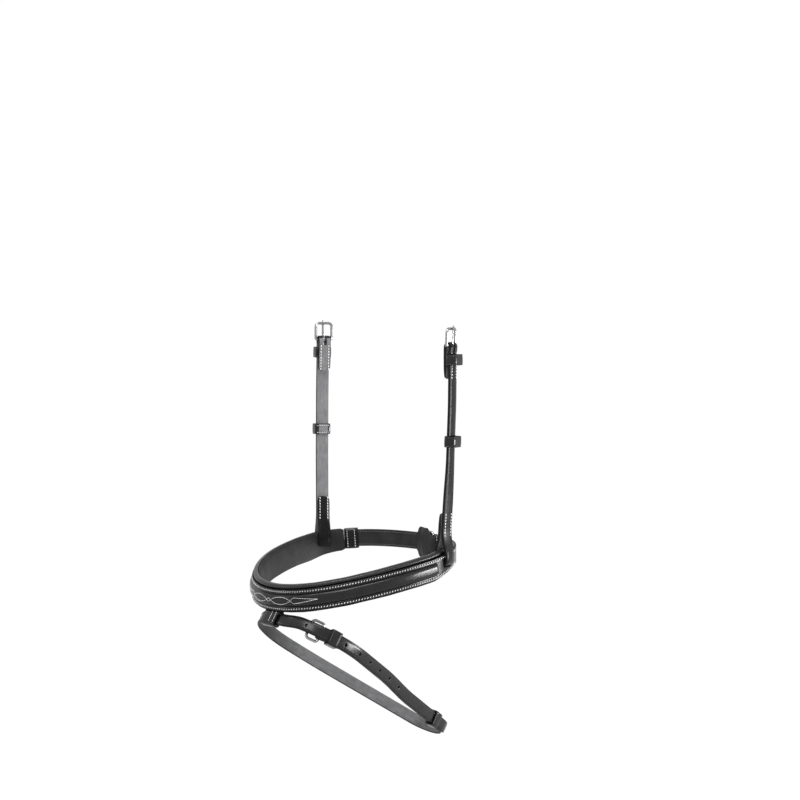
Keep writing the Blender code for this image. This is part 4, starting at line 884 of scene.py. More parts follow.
def columnSeats(side, place, middleAt, half, faceSign, reach, offset):
    # A column of stitches up the hanger, on its outer or inner face
    turn = place.to_3x3()

    def spotAt(up):
        twist = hangerTwist(side, up)
        local = twist @ Vector((faceSign * half, offset, 0)) + Vector((middleAt(up), 0, up))
        return place @ local, turn @ (twist @ Vector((faceSign, 0, 0)))

    seats = []
    for up in steps(*reach, hanger["stitchPitch"]):
        spot, face = spotAt(up)
        seats.append((spot, (spotAt(up + 0.001)[0] - spot).normalized(), face))
    return seats


def makeHangerStitching(side, sideName, place):
    half = hanger["leather"] / 2
    inset = -hanger["hingeInset"]
    layers = hanger["leather"] + hanger["turnedGap"]
    offset = hanger["width"] / 2 - hanger["rowInset"]

    def outer(up):
        return inset + lineOut(up - hingeHeight)

    def innerTop(up):
        return outer(up) - layers

    def innerTab(up):
        return inset - knuckle / 2 + mix(0.0002, 0.0006, (up - hingeHeight - 0.010) / 0.018)

    top = hingeHeight + hanger["rise"]
    outerTabRow = [hingeHeight + up for up in hanger["outerTabRow"]]
    innerTabRow = [hingeHeight + up for up in hanger["innerTabRow"]]
    topRow = [top - down for down in hanger["topRow"]]
    lower, upper = [], []
    for sign in (1, -1):
        across = sign * offset
        lower += columnSeats(side, place, outer, half + 0.0002, 1, outerTabRow, across)
        lower += columnSeats(side, place, innerTab, half, -1, innerTabRow, across)
        upper += columnSeats(side, place, outer, half + 0.0002, 1, topRow, across)
        upper += columnSeats(side, place, innerTop, half, -1, topRow, across)
    thread = (hanger["stitchLength"], hanger["stitchRadius"], whiteThread, hanger["slant"])
    low = sewStitches(sideName + "HangerTabStitching", lower, *thread)
    hand(low, None)
    bendHanger(low)
    high = sewStitches(sideName + "HangerTopStitching", upper, *thread)
    hand(high, sideName + "_hanger")


def makeHangerKeeper(name, node, body, place, up):
    out = lineOut(up)
    edges = np.cumsum(hanger["runs"])
    lean = hanger["bow"] * (1 - int(np.searchsorted(edges, up)))
    centre = Matrix.Translation((out - hanger["hingeInset"], 0, up + hingeHeight))
    spot = place @ centre @ Matrix.Rotation(lean, 4, "Y")
    half = hanger["width"] / 2 + keeperShape["room"]
    inner = -hanger["solidLeather"] / 2 - keeperShape["room"]
    outer = hanger["solidLeather"] / 2 + gap + hanger["billetRoom"]
    wall = keeperShape["leather"]
    corner, frontCorner = hanger["keeperCorners"]
    obj = keeperLoop(name, spot, (inner, -half), (outer, half), hanger["keeperWidth"],
                     [bridleLeather, edgeDye, darkFlesh, fleshSide], frontCorner, corner)
    seam = half - 0.0022
    back = spot.inverted()
    for face in obj.data.polygons:
        centre = back @ face.center
        if face.material_index == 0 and centre.x < inner - wall * 0.6 and abs(centre.y) < seam:
            face.material_index = 3  # the seam on the inner side shows its flesh side
    hand(obj, body, (node,))
    seats = []
    turn = spot.to_3x3()
    for sign in (1, -1):
        row = sign * (hanger["keeperWidth"] / 2 - 0.0018)
        for across in steps(-half + 0.0012, half - 0.0012, 0.0024):
            seat = spot @ Vector((inner - wall - 0.0001, across, row))
            seats.append((seat, turn.col[1], turn.col[0] * -1))
    stitches = sewStitches(name + "Stitching", seats, 0.0012, 0.00022, whiteThread, 0.1)
    hand(stitches, body)
    return obj


def makeBuckle(name, node, body, place, strapWidth, length):
    half = strapWidth / 2 + wire["sideRoom"] + wire["radius"]
    outline = roundedBox((0, -half), (length, half), wire["corner"], 8, wire["frontCorner"])
    path = resample(outline + [outline[0]], 0.0006)[:-1]
    obj = tubeLoop(name, path, wire["radius"], place, [steel])
    return hand(obj, body, (node,))


def makeTongue(name, node, body, place, length, width, thick, pastBar, rise):
    # A strip curled round the pivot bar, then straight over the front bar
    curl = wire["radius"] + gap * 0.6 + thick / 2
    path = arcPoints((0, 0), curl, math.radians(380), math.pi / 2, 30)
    tip = length + wire["radius"] + pastBar
    for share in (0.15, 0.3, 0.5, 0.7, 0.9):
        path.append((tip * share, curl + (0.0001 if rise <= 0 else 0)))
    if rise > 0:
        path += [(tip * 0.97, curl + rise * 0.15), (tip, curl + rise * 0.5), (tip + 0.0001, curl + rise)]
    else:
        path.append((tip, curl - 0.0001))
    path = smoothPath(path, 0.0005, 2)
    spine = spineOf(path, matrixAxes(place, 0, 2, 1), 1)
    count = len(spine)
    halves = [width / 2 * mix(0.34, 1.0, math.sqrt(min(1.0, (count - 1 - i) / 9))) for i in range(count)]
    obj = layStrap(name, spine, halves, thick, [steel, steel, steel], False, 0, 0.0001)
    return hand(obj, body, (node,))


def makeHanger(side, sideName, place):
    makeHangerStrap(side, sideName, place)
    makeHangerStitching(side, sideName, place)
    makeHangerKeeper(sideName + "UpperKeeper", sideName + "_upper_keeper", sideName + "_hanger", place,
                     hanger["rise"] - hanger["keeperBelow"])
    makeHangerKeeper(sideName + "LowerRunner", sideName + "_lower_runner", sideName + "_runner", place,
                     hanger["runs"][0] + hanger["runnerAbove"])
    barOut = lineOut(hanger["rise"]) - knuckle / 2
    turn = place.to_3x3()
    buckle = Matrix((turn.col[2], turn.col[1] * -1, turn.col[0])).transposed().to_4x4()
    buckle.translation = place @ Vector((barOut - hanger["hingeInset"], 0, hanger["rise"] + hingeHeight))
    makeBuckle(sideName + "HangerBuckle", sideName + "_hanger_buckle", sideName + "_buckle", buckle,
               hanger["width"], hanger["buckleLength"])
    makeTongue(sideName + "HangerTongue", sideName + "_hanger_tongue", sideName + "_tongue", buckle,
               hanger["buckleLength"], wire["tongueWidth"], wire["tongue"], wire["tonguePast"], 0)


# Chin strap: the long strap from the off side, and the short near one with the buckle

chin = {"width": 0.0170, "leather": 0.0020, "lining": 0.0012, "nearLeather": 0.0022,
        "barBeforeRear": 0.0150, "buckleLength": 0.0175, "turned": 0.029, "tail": 0.034,
        "tailDrop": 0.0115, "tip": 0.010, "turnedTip": 0.005, "step": 0.002, "nearStep": 0.0012,
        "keeperBefore": 0.0180, "keeperWidth": 0.0105, "offKeeperWidth": 0.0139, "offKeeperGap": 0.0005,
        "keeperRoom": 0.0006, "holeFrom": 0.0032, "holeLength": 0.0105, "holeHalf": 0.0017,
        "holeDepth": 0.008, "tongueSlot": ((-0.0055, -0.0017, -0.008), (0.008, 0.0017, 0.008)),
        "edgeRow": 0.0020, "turnedRow": 0.0022, "stitchPitch": 0.0030}
guard = {"height": 0.0300, "neck": 0.0160, "thick": 0.0032, "before": 0.0115, "past": 0.0215,
         "flareFrom": -0.0060, "flareRun": 0.0080, "roundRun": 0.0050, "roundLeast": 0.60,
         "seamAt": 0.84, "seamWidth": 0.05, "seamDepth": 0.00025, "room": 0.0006}
barRun = ringLength / 2 - chin["barBeforeRear"]
frontBarRun = barRun + chin["buckleLength"]
chinBand = -chin["leather"] / 2
nearBand = -chin["nearLeather"] / 2
chinLayer = chin["nearLeather"] + gap
barDepth = nearBand - chinLayer / 2
chinFold = wire["radius"] + gap + chin["nearLeather"] / 2
overFold = barDepth + chinFold + chin["nearLeather"] / 2 + gap + chin["leather"] / 2
overNear = gap + chin["leather"] / 2
liningFace = -chin["leather"] - gap - chin["lining"]


def ringPathAxes(run, depth):
    point, along, out, up = ringAxes(run)
    return point + out * depth, along, out, up


def chinBuckleFrame():
    pivot = ringPlace(barRun, barDepth, 0)
    front = ringPlace(frontBarRun, chin["leather"] / 2 + wire["radius"], 0)
    up = ringAxes(barRun)[3]
    pull = (front - pivot).normalized()
    face = pull.cross(up).normalized()
    turn = Matrix((pull, face.cross(pull), face)).transposed().to_4x4()
    turn.translation = pivot
    return turn


def makeChin():
    place = chinBuckleFrame()
    size = chin["step"]
    path = [(run, chinBand) for run in steps(ringLength - noseEnd - gap, frontBarRun, size)]
    level, crest = barRun + chinFold, barRun - chinFold
    for run in steps(frontBarRun, level, size)[1:]:
        share = smoothStep((frontBarRun - run) / (frontBarRun - level))
        path.append((run, mix(chinBand, overFold, share)))
    path.append((crest, overFold))
    for run in steps(crest, crest - chin["tailDrop"], size)[1:]:
        path.append((run, mix(overFold, overNear, smoothStep((crest - run) / chin["tailDrop"]))))
    path += [(run, overNear) for run in steps(crest - chin["tailDrop"], barRun - chin["tail"], size)[1:]]
    path = smoothPath(path, size, 1)
    spine = spineOf(path, ringPathAxes, -1)
    halves = tipHalves(len(spine), chin["width"] / 2, size, chin["tip"], (False, True))
    strap = layStrap("chinStrap", spine, halves, chin["leather"], [bridleLeather, edgeDye, darkFlesh])
    half, deep = chin["holeHalf"], chin["holeDepth"]
    hole = boxCutter(place, (chin["holeFrom"], -half, -deep),
                     (chin["holeFrom"] + chin["holeLength"], half, deep))
    cutAway(strap, [hole])
    dropCutters([hole])
    hand(strap, "noseband", ("chin_strap",))

    # Sewn lining inside it
    depth = liningFace + chin["lining"] / 2
    path = [(run, depth) for run in steps(ringLength - noseEnd - gap, frontBarRun + wire["radius"], size)]
    lining = layStrap("chinStrapLining", spineOf(path, ringPathAxes, 1), chin["width"] / 2 - 0.0001,
                      chin["lining"], [liningLeather, edgeDye, liningLeather], crease=0)
    hand(lining, "noseband", ("chin_strap_lining",))

    # Near strap, round the bar with its end turned back inside
    inner = nearBand - chinLayer
    closing = barRun - 2.2 * chinFold
    path = [(run, nearBand) for run in steps(noseEnd + gap, closing, size)]
    path += arcPoints((barRun, barDepth), chinFold, math.pi / 2, -math.pi / 2, 12)
    path += [(run, inner) for run in steps(closing, barRun - chin["turned"], size)]
    path = smoothPath(path, chin["nearStep"], 1)
    spine = spineOf(path, ringPathAxes, 1)
    halves = tipHalves(len(spine), chin["width"] / 2, chin["nearStep"], chin["turnedTip"], (False, True))
    near = layStrap("chinNearStrap", spine, halves, chin["nearLeather"],
                    [bridleLeather, edgeDye, darkFlesh])
    slot = boxCutter(place, *chin["tongueSlot"])
    cutAway(near, [slot])
    dropCutters([slot])
    hand(near, "noseband", ("chin_near_strap",))
    makeBuckle("chinBuckle", "chin_buckle", "noseband", place, chin["width"], chin["buckleLength"])
    makeTongue("chinTongue", "chin_tongue", "noseband", place, chin["buckleLength"], wire["tongueWidth"],
               wire["tongue"], wire["tonguePast"], 0)
    room = chin["keeperRoom"]
    makeRingKeeper("chinKeeper", "chin_keeper", barRun - chin["keeperBefore"],
                   nearBand - chinLayer - chin["nearLeather"] / 2 - room,
                   overNear + chin["leather"] / 2 + room, chin["keeperWidth"])
    makeRingKeeper("offEndKeeper", "off_end_keeper",
                   -noseEnd - chin["offKeeperGap"] - chin["offKeeperWidth"] / 2,
                   liningFace - room, room, chin["offKeeperWidth"])
    makeChinStitching()
    makeGuard()


def makeRingKeeper(name, node, run, inner, outer, width):
    point, along, out, up = ringAxes(run)
    spot = Matrix((out, up, along * -1)).transposed().to_4x4()
    spot.translation = point
    wall = keeperShape["leather"]
    half = chin["width"] / 2 + keeperShape["room"]
    obj = keeperLoop(name, spot, (inner, -half), (outer, half), width,
                     [bridleLeather, edgeDye, darkFlesh])
    hand(obj, "noseband", (node,))
    seats = []
    for face, depth in ((1, outer + wall + 0.0001), (-1, inner - wall - 0.0001)):
        for sign in (1, -1):
            for across in steps(-half + 0.0012, half - 0.0012, 0.0026):
                seat = spot @ Vector((depth, across, sign * (width / 2 - 0.0032)))
                seats.append((seat, up, out * face))
    stitches = sewStitches(name + "Stitching", seats, 0.0018, 0.00028, whiteThread, 0.1)
    hand(stitches, "noseband")


def makeChinStitching():
    # Thread along both edges of the lined strap, inside and out
    seats = []
    for run in steps(ringLength - noseEnd - 0.003, frontBarRun + 0.002, chin["stitchPitch"]):
        point, along, out, up = ringAxes(run)
        for sign in (1, -1):
            high = sign * (chin["width"] / 2 - chin["edgeRow"])
            seats.append((point + out * (liningFace - 0.00003) + up * high, along, out * -1))
            seats.append((point + up * high, along, out))
    rows = sewStitches("chinStitching", seats, 0.0021, 0.00030, greyThread, 0.1)
    hand(rows, "noseband")
    seats = []
    inside = nearBand - chinLayer - chin["nearLeather"] / 2
    for run in steps(barRun - chin["turned"] + 0.002, barRun - 0.0055, chin["stitchPitch"]):
        point, along, out, up = ringAxes(run)
        for sign in (1, -1):
            high = sign * (chin["width"] / 2 - chin["turnedRow"])
            seats.append((point + out * inside + up * high, along, out * -1))
    rows = sewStitches("chinNearStitching", seats, 0.0020, 0.00032, whiteThread, 0.1)
    hand(rows, "noseband")


def guardFace(run):
    neck = nearBand - chinLayer - chin["nearLeather"] / 2 - gap
    fold = barDepth - chinFold - chin["nearLeather"] / 2 - guard["room"]
    rest = liningFace - guard["room"]
    if run < barRun:
        share = smoothStep((run - barRun + guard["before"]) / (guard["before"] - chinFold * 2))
        return mix(neck, fold, share)
    return mix(fold, rest, smoothStep((run - barRun - chinFold * 2) / (guard["past"] - chinFold * 4)))


def makeGuard():
    # Padded flap behind the buckle: crowned, with a sewn rim
    start, end = barRun - guard["before"], barRun + guard["past"]
    rows = []
    for run in steps(start, end, 0.0007):
        grow = smoothStep((run - barRun - guard["flareFrom"]) / guard["flareRun"])
        past = max(0.0, (run - end + guard["roundRun"]) / guard["roundRun"])
        close = math.sqrt(max(0.0, 1 - past * past))
        half = mix(guard["neck"] / 2, guard["height"] / 2, grow) * max(guard["roundLeast"], close)
        rim = smoothStep(min((end - run) / 0.004, (run - start) / 0.003))
        face = guardFace(run)
        section = []
        for share in np.linspace(-1, 1, 25):
            flat = 1 - abs(share) ** 3.2
            swell = guard["thick"] * (0.34 + 0.66 * flat * rim)
            off = (abs(share) - guard["seamAt"]) / guard["seamWidth"]
            seam = guard["seamDepth"] * math.exp(-off ** 2)
            section.append((face - swell + seam, half * float(share)))
        section.append((face - 0.0004, half * 1.01))
        section.append((face, half * 0.97))
        section += [(face, 0.0), (face, -half * 0.97), (face - 0.0004, -half * 1.01)]
        rows.append([ringPlace(run, d, h) for d, h in section])
    obj = sweepRows("chinGuard", rows, [0] * len(rows[0]), [liningLeather, edgeDye], False, 50)
    hand(obj, "noseband", ("chin_guard",))
    return obj


# Flash strap in the tab under the nosepiece. Frame of its loop: X near side, Y along, Z its width

flash = {"tilt": math.radians(33), "offTaper": 0.130, "offShare": 0.84, "lift": 0.0028,
         "liftRuns": (0.013, 0.035, 0.150, 0.205), "width": 0.0120, "leather": 0.0026, "length": 0.250,
         "frontRadius": 0.060, "rearRadius": 0.024, "step": 0.002, "tip": 0.014, "turnedTip": 0.004,
         "skive": 0.012, "buckleAt": 0.0545, "buckleLength": 0.0127, "buckleRoom": 0.0014,
         "barRoom": 0.0013, "turned": 0.026, "tongueSlot": ((-0.0055, -0.0015, -0.0048),
                                                            (0.0032, 0.0015, 0.0032)),
         "tongueWidth": 0.0020, "tongue": 0.0010, "tonguePast": 0.0008, "keeperAt": 0.0140,
         "keeperWidth": 0.0105, "keeperRoom": 0.0006, "runnerShort": 0.014, "tailPast": 0.016,
         "hole": 0.0014, "holeStep": 0.0190, "holes": 7, "edgeRow": 0.0019, "turnedRow": 0.0022,
         "stitchLength": 0.0019, "stitchRadius": 0.00030}
tab = {"width": 0.0200, "leather": 0.0018, "knuckle": 0.0014, "axisInset": 0.0066, "axisBelow": 0.0121,
       "room": 0.0008, "bend": (0.0032, -0.0018), "rows": (0.0020, 0.0078), "rowHalf": 0.0042,
       "stitchPitch": 0.0024, "stitchLength": 0.0017, "stitchRadius": 0.00026}
flashLayer = flash["leather"] + gap
flashFold = wire["radius"] + gap + flash["leather"] / 2
flashBarDepth = -flashLayer - flashFold
flashFrontBarDepth = -flash["leather"] / 2 - flash["barRoom"] - flash["tongue"] - wire["radius"]
tabAxis = Vector((0, -ring["frontReach"] + tab["axisInset"], ringPoint(0).z - tab["axisBelow"]))
flashDrop = tab["knuckle"] + 0.0008 + flash["width"] / 2
flashTurn = Matrix.Rotation(-flash["tilt"], 4, "X")
flashPlace = Matrix.Translation(tabAxis - (flashTurn @ Vector((0, 0, 1))) * flashDrop) @ flashTurn
flashSpan = flash["length"] - flash["frontRadius"] - flash["rearRadius"]
flashSlant = math.asin((flash["frontRadius"] - flash["rearRadius"]) / flashSpan)
frontArc = flash["frontRadius"] * (math.pi / 2 + flashSlant)
straightRun = flashSpan * math.cos(flashSlant)
halfLoop = frontArc + straightRun + flash["rearRadius"] * (math.pi / 2 - flashSlant)


def beltPoint(run, depth):
    run = (run + halfLoop) % (2 * halfLoop) - halfLoop
    side, run = (1 if run >= 0 else -1), abs(run)
    front, rear = flash["frontRadius"], flash["rearRadius"]
    if run <= frontArc:
        turn = run / front
        centre, radius, gone = front, front, 0.0
    elif run <= frontArc + straightRun:
        turn = math.pi / 2 + flashSlant
        centre, radius, gone = front, front, run - frontArc
    else:
        turn = math.pi / 2 + flashSlant + (run - frontArc - straightRun) / rear
        centre, radius, gone = flash["length"] - rear, rear, 0.0
    nx, ny = math.sin(turn), -math.cos(turn)
    across, back = nx * (radius + depth) - gone * ny, centre + ny * (radius + depth) + gone * nx
    if side < 0:
        across *= flash["offShare"] + (1 - flash["offShare"]) * smoothStep(back / flash["offTaper"])
    return side * across, back


def beltLift(run):
    # How far the near side stands above the loop's plane
    run = (run + halfLoop) % (2 * halfLoop) - halfLoop
    start, full, later, end = flash["liftRuns"]
    grow, fall = smoothStep((run - start) / (full - start)), smoothStep((end - run) / (end - later))
    return flash["lift"] * grow * fall


def beltAxes(run, depth):
    x, y = beltPoint(run, depth)
    ahead, behind = beltPoint(run + 0.0008, depth), beltPoint(run - 0.0008, depth)
    turn = flashPlace.to_3x3()
    rise = beltLift(run + 0.0008) - beltLift(run - 0.0008)
    along = (turn @ Vector((ahead[0] - behind[0], ahead[1] - behind[1], rise))).normalized()
    out = along.cross(turn.col[2]).normalized()
    return flashPlace @ Vector((x, y, beltLift(run))), along, out, out.cross(along)


def flashPath(size):
    lap, bar = 2 * halfLoop, flash["buckleAt"]
    closing = bar + 2.4 * flashFold
    path = [(bar + flash["turned"], -2 * flashLayer), (closing, -2 * flashLayer)]
    path += arcPoints((bar, flashBarDepth), flashFold, 3 * math.pi / 2, math.pi / 2, 12)
    offStart, offEnd = lap / 2, lap - frontArc
    path += [(run, -flashLayer) for run in steps(bar + flashFold, offStart, size)]
    for run in steps(offStart, offEnd, size)[1:]:
        path.append((run, -flashLayer * (1 - smoothStep((run - offStart) / (offEnd - offStart)))))
    tail = lap + frontArc + straightRun + flash["tailPast"]
    path += [(run, 0.0) for run in steps(offEnd, tail, size)[1:]]
    return path


def flashBuckleFrame():
    pivot, _, out, up = beltAxes(flash["buckleAt"], flashBarDepth)
    front = beltAxes(flash["buckleAt"] - flash["buckleLength"], flashFrontBarDepth)[0]
    pull = (front - pivot).normalized()
    face = up.cross(pull).normalized()
    if face.dot(out) < 0:
        face = -face
    turn = Matrix((pull, face.cross(pull), face)).transposed().to_4x4()
    turn.translation = pivot
    return turn, (front - pivot).length


def flashHoleRuns():
    first = flash["buckleAt"] - flash["buckleLength"] - wire["radius"] - flash["tonguePast"]
    later = flash["buckleAt"] + flash["keeperAt"] + flash["keeperWidth"] * 1.2
    return [first] + [later + flash["holeStep"] * i for i in range(flash["holes"] - 1)]


def makeFlashStrap():
    size = flash["step"]
    path = smoothPath(flashPath(size), size, 1)
    spine = spineOf(path, beltAxes, 1)
    count = len(spine)
    half = flash["width"] / 2
    tipped = tipHalves(count, half, size, flash["tip"], (False, True), 0.30)
    turned = tipHalves(count, half, size, flash["turnedTip"], (True, False), 0.5)
    halves = [min(a, b) for a, b in zip(tipped, turned)]
    thicks = tipThicks(count, flash["leather"], size, flash["skive"], (False, True), 0.6)
    obj = layStrap("flashStrap", spine, halves, flash["leather"], [bridleLeather, edgeDye, flashFlesh],
                   crown=strapShape["crown"], thicks=thicks)
    place, length = flashBuckleFrame()
    cutters = [boxCutter(place, *flash["tongueSlot"])]
    for run in flashHoleRuns():
        point, _, out, _ = beltAxes(run, flash["leather"] * 0.45)
        cutters.append(roundCutter(point, out, flash["hole"], 0.0038))
    cutAway(obj, cutters)
    dropCutters(cutters)
    hand(obj, "flash_strap", ("flash_strap",))
    makeBuckle("flashBuckle", "flash_buckle", "flash_strap", place,
               flash["width"] + wire["radius"] + flash["buckleRoom"], length)
    makeTongue("flashTongue", "flash_tongue", "flash_strap", place, length, flash["tongueWidth"],
               flash["tongue"], flash["tonguePast"], flash["leather"])
    makeBeltKeeper("flashKeeper", "flash_keeper", "flash_strap", flash["buckleAt"] + flash["keeperAt"], 3)
    makeBeltKeeper("flashRunner", "flash_runner", "flash_runner",
                   frontArc + straightRun - flash["runnerShort"], 2)
    thread = (flash["stitchLength"], flash["stitchRadius"])
    seats = []
    for run in steps(flash["buckleAt"] + 0.006, flash["buckleAt"] + flash["turned"] - 0.002, 0.0028):
        point, along, out, up = beltAxes(run, -2 * flashLayer - flash["leather"] / 2)
        for sign in (1, -1):
            seats.append((point + up * sign * (half - flash["turnedRow"]), along, out * -1))
    rows = sewStitches("flashTurnedStitching", seats, *thread, whiteThread, 0.1)
    hand(rows, "flash_strap")
    seats = []
    first, last = -frontArc - straightRun * 0.9, frontArc + straightRun + flash["tailPast"] - 0.012
    for run in steps(first, last, 0.0027):
        point, along, out, up = beltAxes(run, flash["leather"] / 2 + 0.00002)
        for sign in (1, -1):
            seats.append((point + up * sign * (half - flash["edgeRow"]), along, out))
    rows = sewStitches("flashEdgeStitching", seats, *thread, blackThread, 0.6)
    hand(rows, "flash_strap")


def makeBeltKeeper(name, node, body, run, layers):
    point, _, out, up = beltAxes(run, 0)
    spot = Matrix((out, up, out.cross(up))).transposed().to_4x4()
    spot.translation = point
    inner = -flash["leather"] / 2 - (layers - 1) * flashLayer - flash["keeperRoom"]
    outer = flash["leather"] / 2 + flash["keeperRoom"]
    half = flash["width"] / 2 + keeperShape["room"]
    obj = keeperLoop(name, spot, (inner, -half), (outer, half), flash["keeperWidth"],
                     [bridleLeather, edgeDye, darkFlesh])
    return hand(obj, body, (node,))


def makeFlashTab():
    # One strip from between the nosepiece's layers, round the flash strap and back up
    turn = flashTurn.to_3x3()
    origin = flashPlace.translation
    back, up = turn.col[1], turn.col[2]
    wall = tab["leather"]
    bend, room = flash["frontRadius"], tab["room"]
    sag = bend - math.sqrt(bend ** 2 - (tab["width"] / 2) ** 2)  # the flash strap curves in the tab
    front = -flash["leather"] / 2 - room - wall / 2
    rear = flash["leather"] / 2 + room + sag + wall / 2
    low = -flash["width"] / 2 - room - wall / 2
    high = flash["width"] / 2 + room * 0.6

    def inLoop(y, z):
        spot = origin + back * y + up * z
        return spot.y, spot.z

    strapY, strapLow = -ring["frontReach"], ringPoint(0).z + strapMiddle(0) - noseHalf(0)
    path = [(strapY + 0.0046, strapLow + 0.0060), (strapY + 0.0046, strapLow + 0.0010),
            (tabAxis.y + 0.0009, tabAxis.z + 0.0006)]
    path += [inLoop(rear * 0.75, high - 0.0002), inLoop(rear, high - 0.0022), inLoop(rear, low + 0.002),
             inLoop(rear - 0.0005, low + 0.0005), inLoop(rear - 0.002, low), inLoop(front + 0.002, low),
             inLoop(front + 0.0005, low + 0.0005), inLoop(front, low + 0.002),
             inLoop(front, high - 0.0022), inLoop(front * 0.75, high + 0.0004)]
    path.append((tabAxis.y - 0.0014, tabAxis.z + 0.0012))
    path += [(strapY + 0.0026, strapLow + 0.0006), (strapY + 0.0026, strapLow + 0.0060)]
    path = smoothPath(path, 0.0007, 2)
    spine = spineOf(path, matrixAxes(Matrix.Identity(4), 1, 2, 0), 1)
    obj = layStrap("flashTab", spine, tab["width"] / 2, wall, [bridleLeather, edgeDye, fleshSide],
                   crease=0.0014)
    seats = []
    for across in tab["rows"]:
        for high in steps(-tab["rowHalf"], tab["rowHalf"], tab["stitchPitch"]):
            spot = origin + Vector((across, 0, 0)) + back * (front - wall / 2 - 0.0001) + up * high
            seats.append((spot, up, back * -1))
    rows = sewStitches("flashTabStitching", seats, tab["stitchLength"], tab["stitchRadius"],
                       whiteThread, 0.1)
    hand(rows, "flash_loop")
    hand(obj, None, ("flash_tab", "flash_tab_anchor"))
    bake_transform(obj)
    return obj


# Camera, light and floor

view = {"azimuth": 49, "elevation": 4, "distance": 2.2, "aside": 0.032, "height": 0.1584,
        "mmPerPixel": 0.97, "pixels": 800, "sensor": 36}
studio = {"floor": -0.30, "paper": 0.86, "white": 0.90, "world": 0.60, "worldColour": (0.9, 0.92, 0.95),
          "sweepWidth": 6.0, "sweepNear": 3.0, "sweepFar": 0.9, "sweepRise": 4.0, "sweepBend": 0.8}
lamps = [{"name": "sideLamp", "from": (127, -1), "distance": 1.6, "size": (0.95, 0.30), "power": 32.0,
          "aim": (0, 0, 0.0)},
         {"name": "keyLamp", "from": (36, 37), "distance": 1.8, "size": (0.5, 0.5), "power": 7.0,
          "aim": (0, 0, 0.05)},
         {"name": "topLamp", "from": (30, 62), "distance": 1.8, "size": (2.0, 0.3), "power": 28.0,
          "aim": (0, 0, 0.05)},
         {"name": "fillLamp", "from": (-30, 15), "distance": 2.2, "size": (0.3, 0.8), "power": 5.0,
          "aim": (0, 0, 0.05)}]


def towards(azimuth, elevation):
    a, e = math.radians(azimuth), math.radians(elevation)
    return Vector((math.sin(a) * math.cos(e), -math.cos(a) * math.cos(e), math.sin(e)))


def makeCamera():
    a = math.radians(view["azimuth"])
    back = towards(view["azimuth"], view["elevation"])
    right = Vector((math.cos(a), math.sin(a), 0))
    target = right * view["aside"] + Vector((0, 0, view["height"]))
    data = bpy.data.cameras.new("camera")
    data.sensor_width = view["sensor"]
    data.lens = view["sensor"] * view["distance"] * 1000 / (view["mmPerPixel"] * view["pixels"])
    data.clip_end = 30
    obj = bpy.data.objects.new("camera", data)
    obj.location = target + back * view["distance"]
    obj.rotation_euler = back.to_track_quat("Z", "Y").to_euler()
    bpy.context.scene.collection.objects.link(obj)
    bpy.context.scene.camera = obj


def makeLamp(lamp):
    toward = towards(*lamp["from"])
    data = bpy.data.lights.new(lamp["name"], "AREA")
    data.shape = "RECTANGLE"
    data.size, data.size_y = lamp["size"]
    data.energy = lamp["power"]
    obj = bpy.data.objects.new(lamp["name"], data)
    obj.location = Vector(lamp["aim"]) + toward * lamp["distance"]
    obj.rotation_euler = toward.to_track_quat("Z", "Y").to_euler()
    bpy.context.scene.collection.objects.link(obj)


def whiteToCamera(nodes, links):
    # White where the camera, gloss or glass sees it, and a plain surface to other light
    path = nodes.new("ShaderNodeLightPath")
    first = nodes.new("ShaderNodeMath")
    first.operation = "MAXIMUM"
    links.new(path.outputs["Is Camera Ray"], first.inputs[0])
    links.new(path.outputs["Is Glossy Ray"], first.inputs[1])
    second = nodes.new("ShaderNodeMath")
    second.operation = "MAXIMUM"
    links.new(first.outputs[0], second.inputs[0])
    links.new(path.outputs["Is Transmission Ray"], second.inputs[1])
    return second.outputs[0]


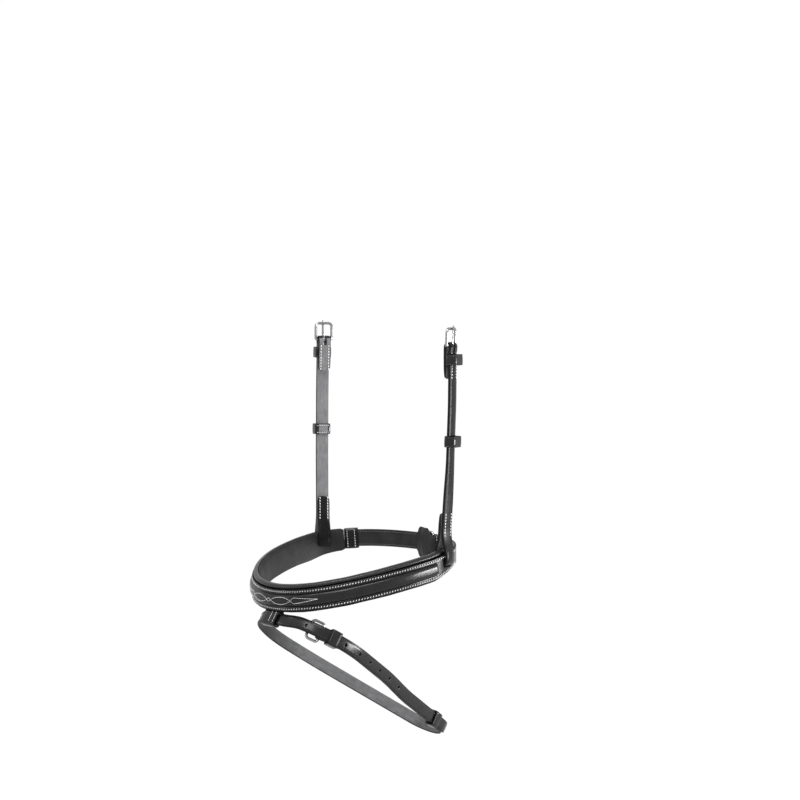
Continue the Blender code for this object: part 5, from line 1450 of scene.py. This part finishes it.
def makeStage():
    # A paper sweep that runs up behind the part, as the camera sees it
    width, far, bend = studio["sweepWidth"], studio["sweepFar"], studio["sweepBend"]
    a = math.radians(view["azimuth"])
    away = Vector((-math.sin(a), math.cos(a), 0))
    side = Vector((math.cos(a), math.sin(a), 0))
    profile = [(-studio["sweepNear"], 0.0), (far, 0.0)]
    for t in np.linspace(0, math.pi / 2, 16)[1:]:
        profile.append((far + bend * math.sin(t), bend - bend * math.cos(t)))
    profile.append((far + bend, studio["sweepRise"]))
    bm = bmesh.new()
    rows = []
    for d, h in profile:
        middle = away * d + Vector((0, 0, studio["floor"] + h))
        rows.append([bm.verts.new(middle + side * s * width) for s in (-1, 1)])
    for r, q in zip(rows, rows[1:]):
        bm.faces.new((r[0], r[1], q[1], q[0]))
    made, nodes, links, shader = newMaterial("paperSweep", (studio["paper"],) * 3, 0.9)
    glow = nodes.new("ShaderNodeEmission")
    glow.inputs["Strength"].default_value = 1.0
    both = nodes.new("ShaderNodeMixShader")
    seen = whiteToCamera(nodes, links)
    faded = nodes.new("ShaderNodeMath")
    faded.operation = "MULTIPLY"
    faded.inputs[1].default_value = studio["white"]
    links.new(seen, faded.inputs[0])
    links.new(faded.outputs[0], both.inputs[0])
    links.new(shader.outputs[0], both.inputs[1])
    links.new(glow.outputs[0], both.inputs[2])
    links.new(both.outputs[0], nodes["Material Output"].inputs["Surface"])
    meshObject("paperSweep", bm, [made], 60)


def makeWorld():
    world = bpy.data.worlds.new("studio")
    bpy.context.scene.world = world
    world.use_nodes = True
    nodes, links = world.node_tree.nodes, world.node_tree.links
    plain = nodes["Background"]
    plain.inputs["Color"].default_value = (*studio["worldColour"], 1)
    plain.inputs["Strength"].default_value = studio["world"]
    white = nodes.new("ShaderNodeBackground")
    white.inputs["Color"].default_value = (1, 1, 1, 1)
    both = nodes.new("ShaderNodeMixShader")
    seen = whiteToCamera(nodes, links)
    links.new(seen, both.inputs[0])
    links.new(plain.outputs[0], both.inputs[1])
    links.new(white.outputs[0], both.inputs[2])
    links.new(both.outputs[0], nodes["World Output"].inputs["Surface"])


makeCamera()
makeWorld()
makeStage()
for lamp in lamps:
    makeLamp(lamp)
bpy.context.scene.view_settings.view_transform = "Standard"
print("camera, lights and floor made")


def slotCutter(place):
    # The cut in the nosepiece that a hanger passes through
    half, high, past = hanger["width"] / 2 + 0.0004, 0.0018, 0.004
    return boxCutter(place, (-bandDepth - past, -half, slotHeight - high), (past, half, slotHeight + high))


slots = [slotCutter(place) for place in hangerFrames]
makeNoseFace(slots)
makeNoseBacking(slots)
makeNoseLining(slots)
dropCutters(slots)
makeNoseStitching()
makeFancyStitching()
print("nosepiece made")
for side, sideName, place in ((1, "near", hangerFrames[0]), (-1, "off", hangerFrames[1])):
    makeHanger(side, sideName, place)
print("hangers made")
makeChin()
print("chin strap made")
makeFlashStrap()
makeFlashTab()
print("flash strap made")
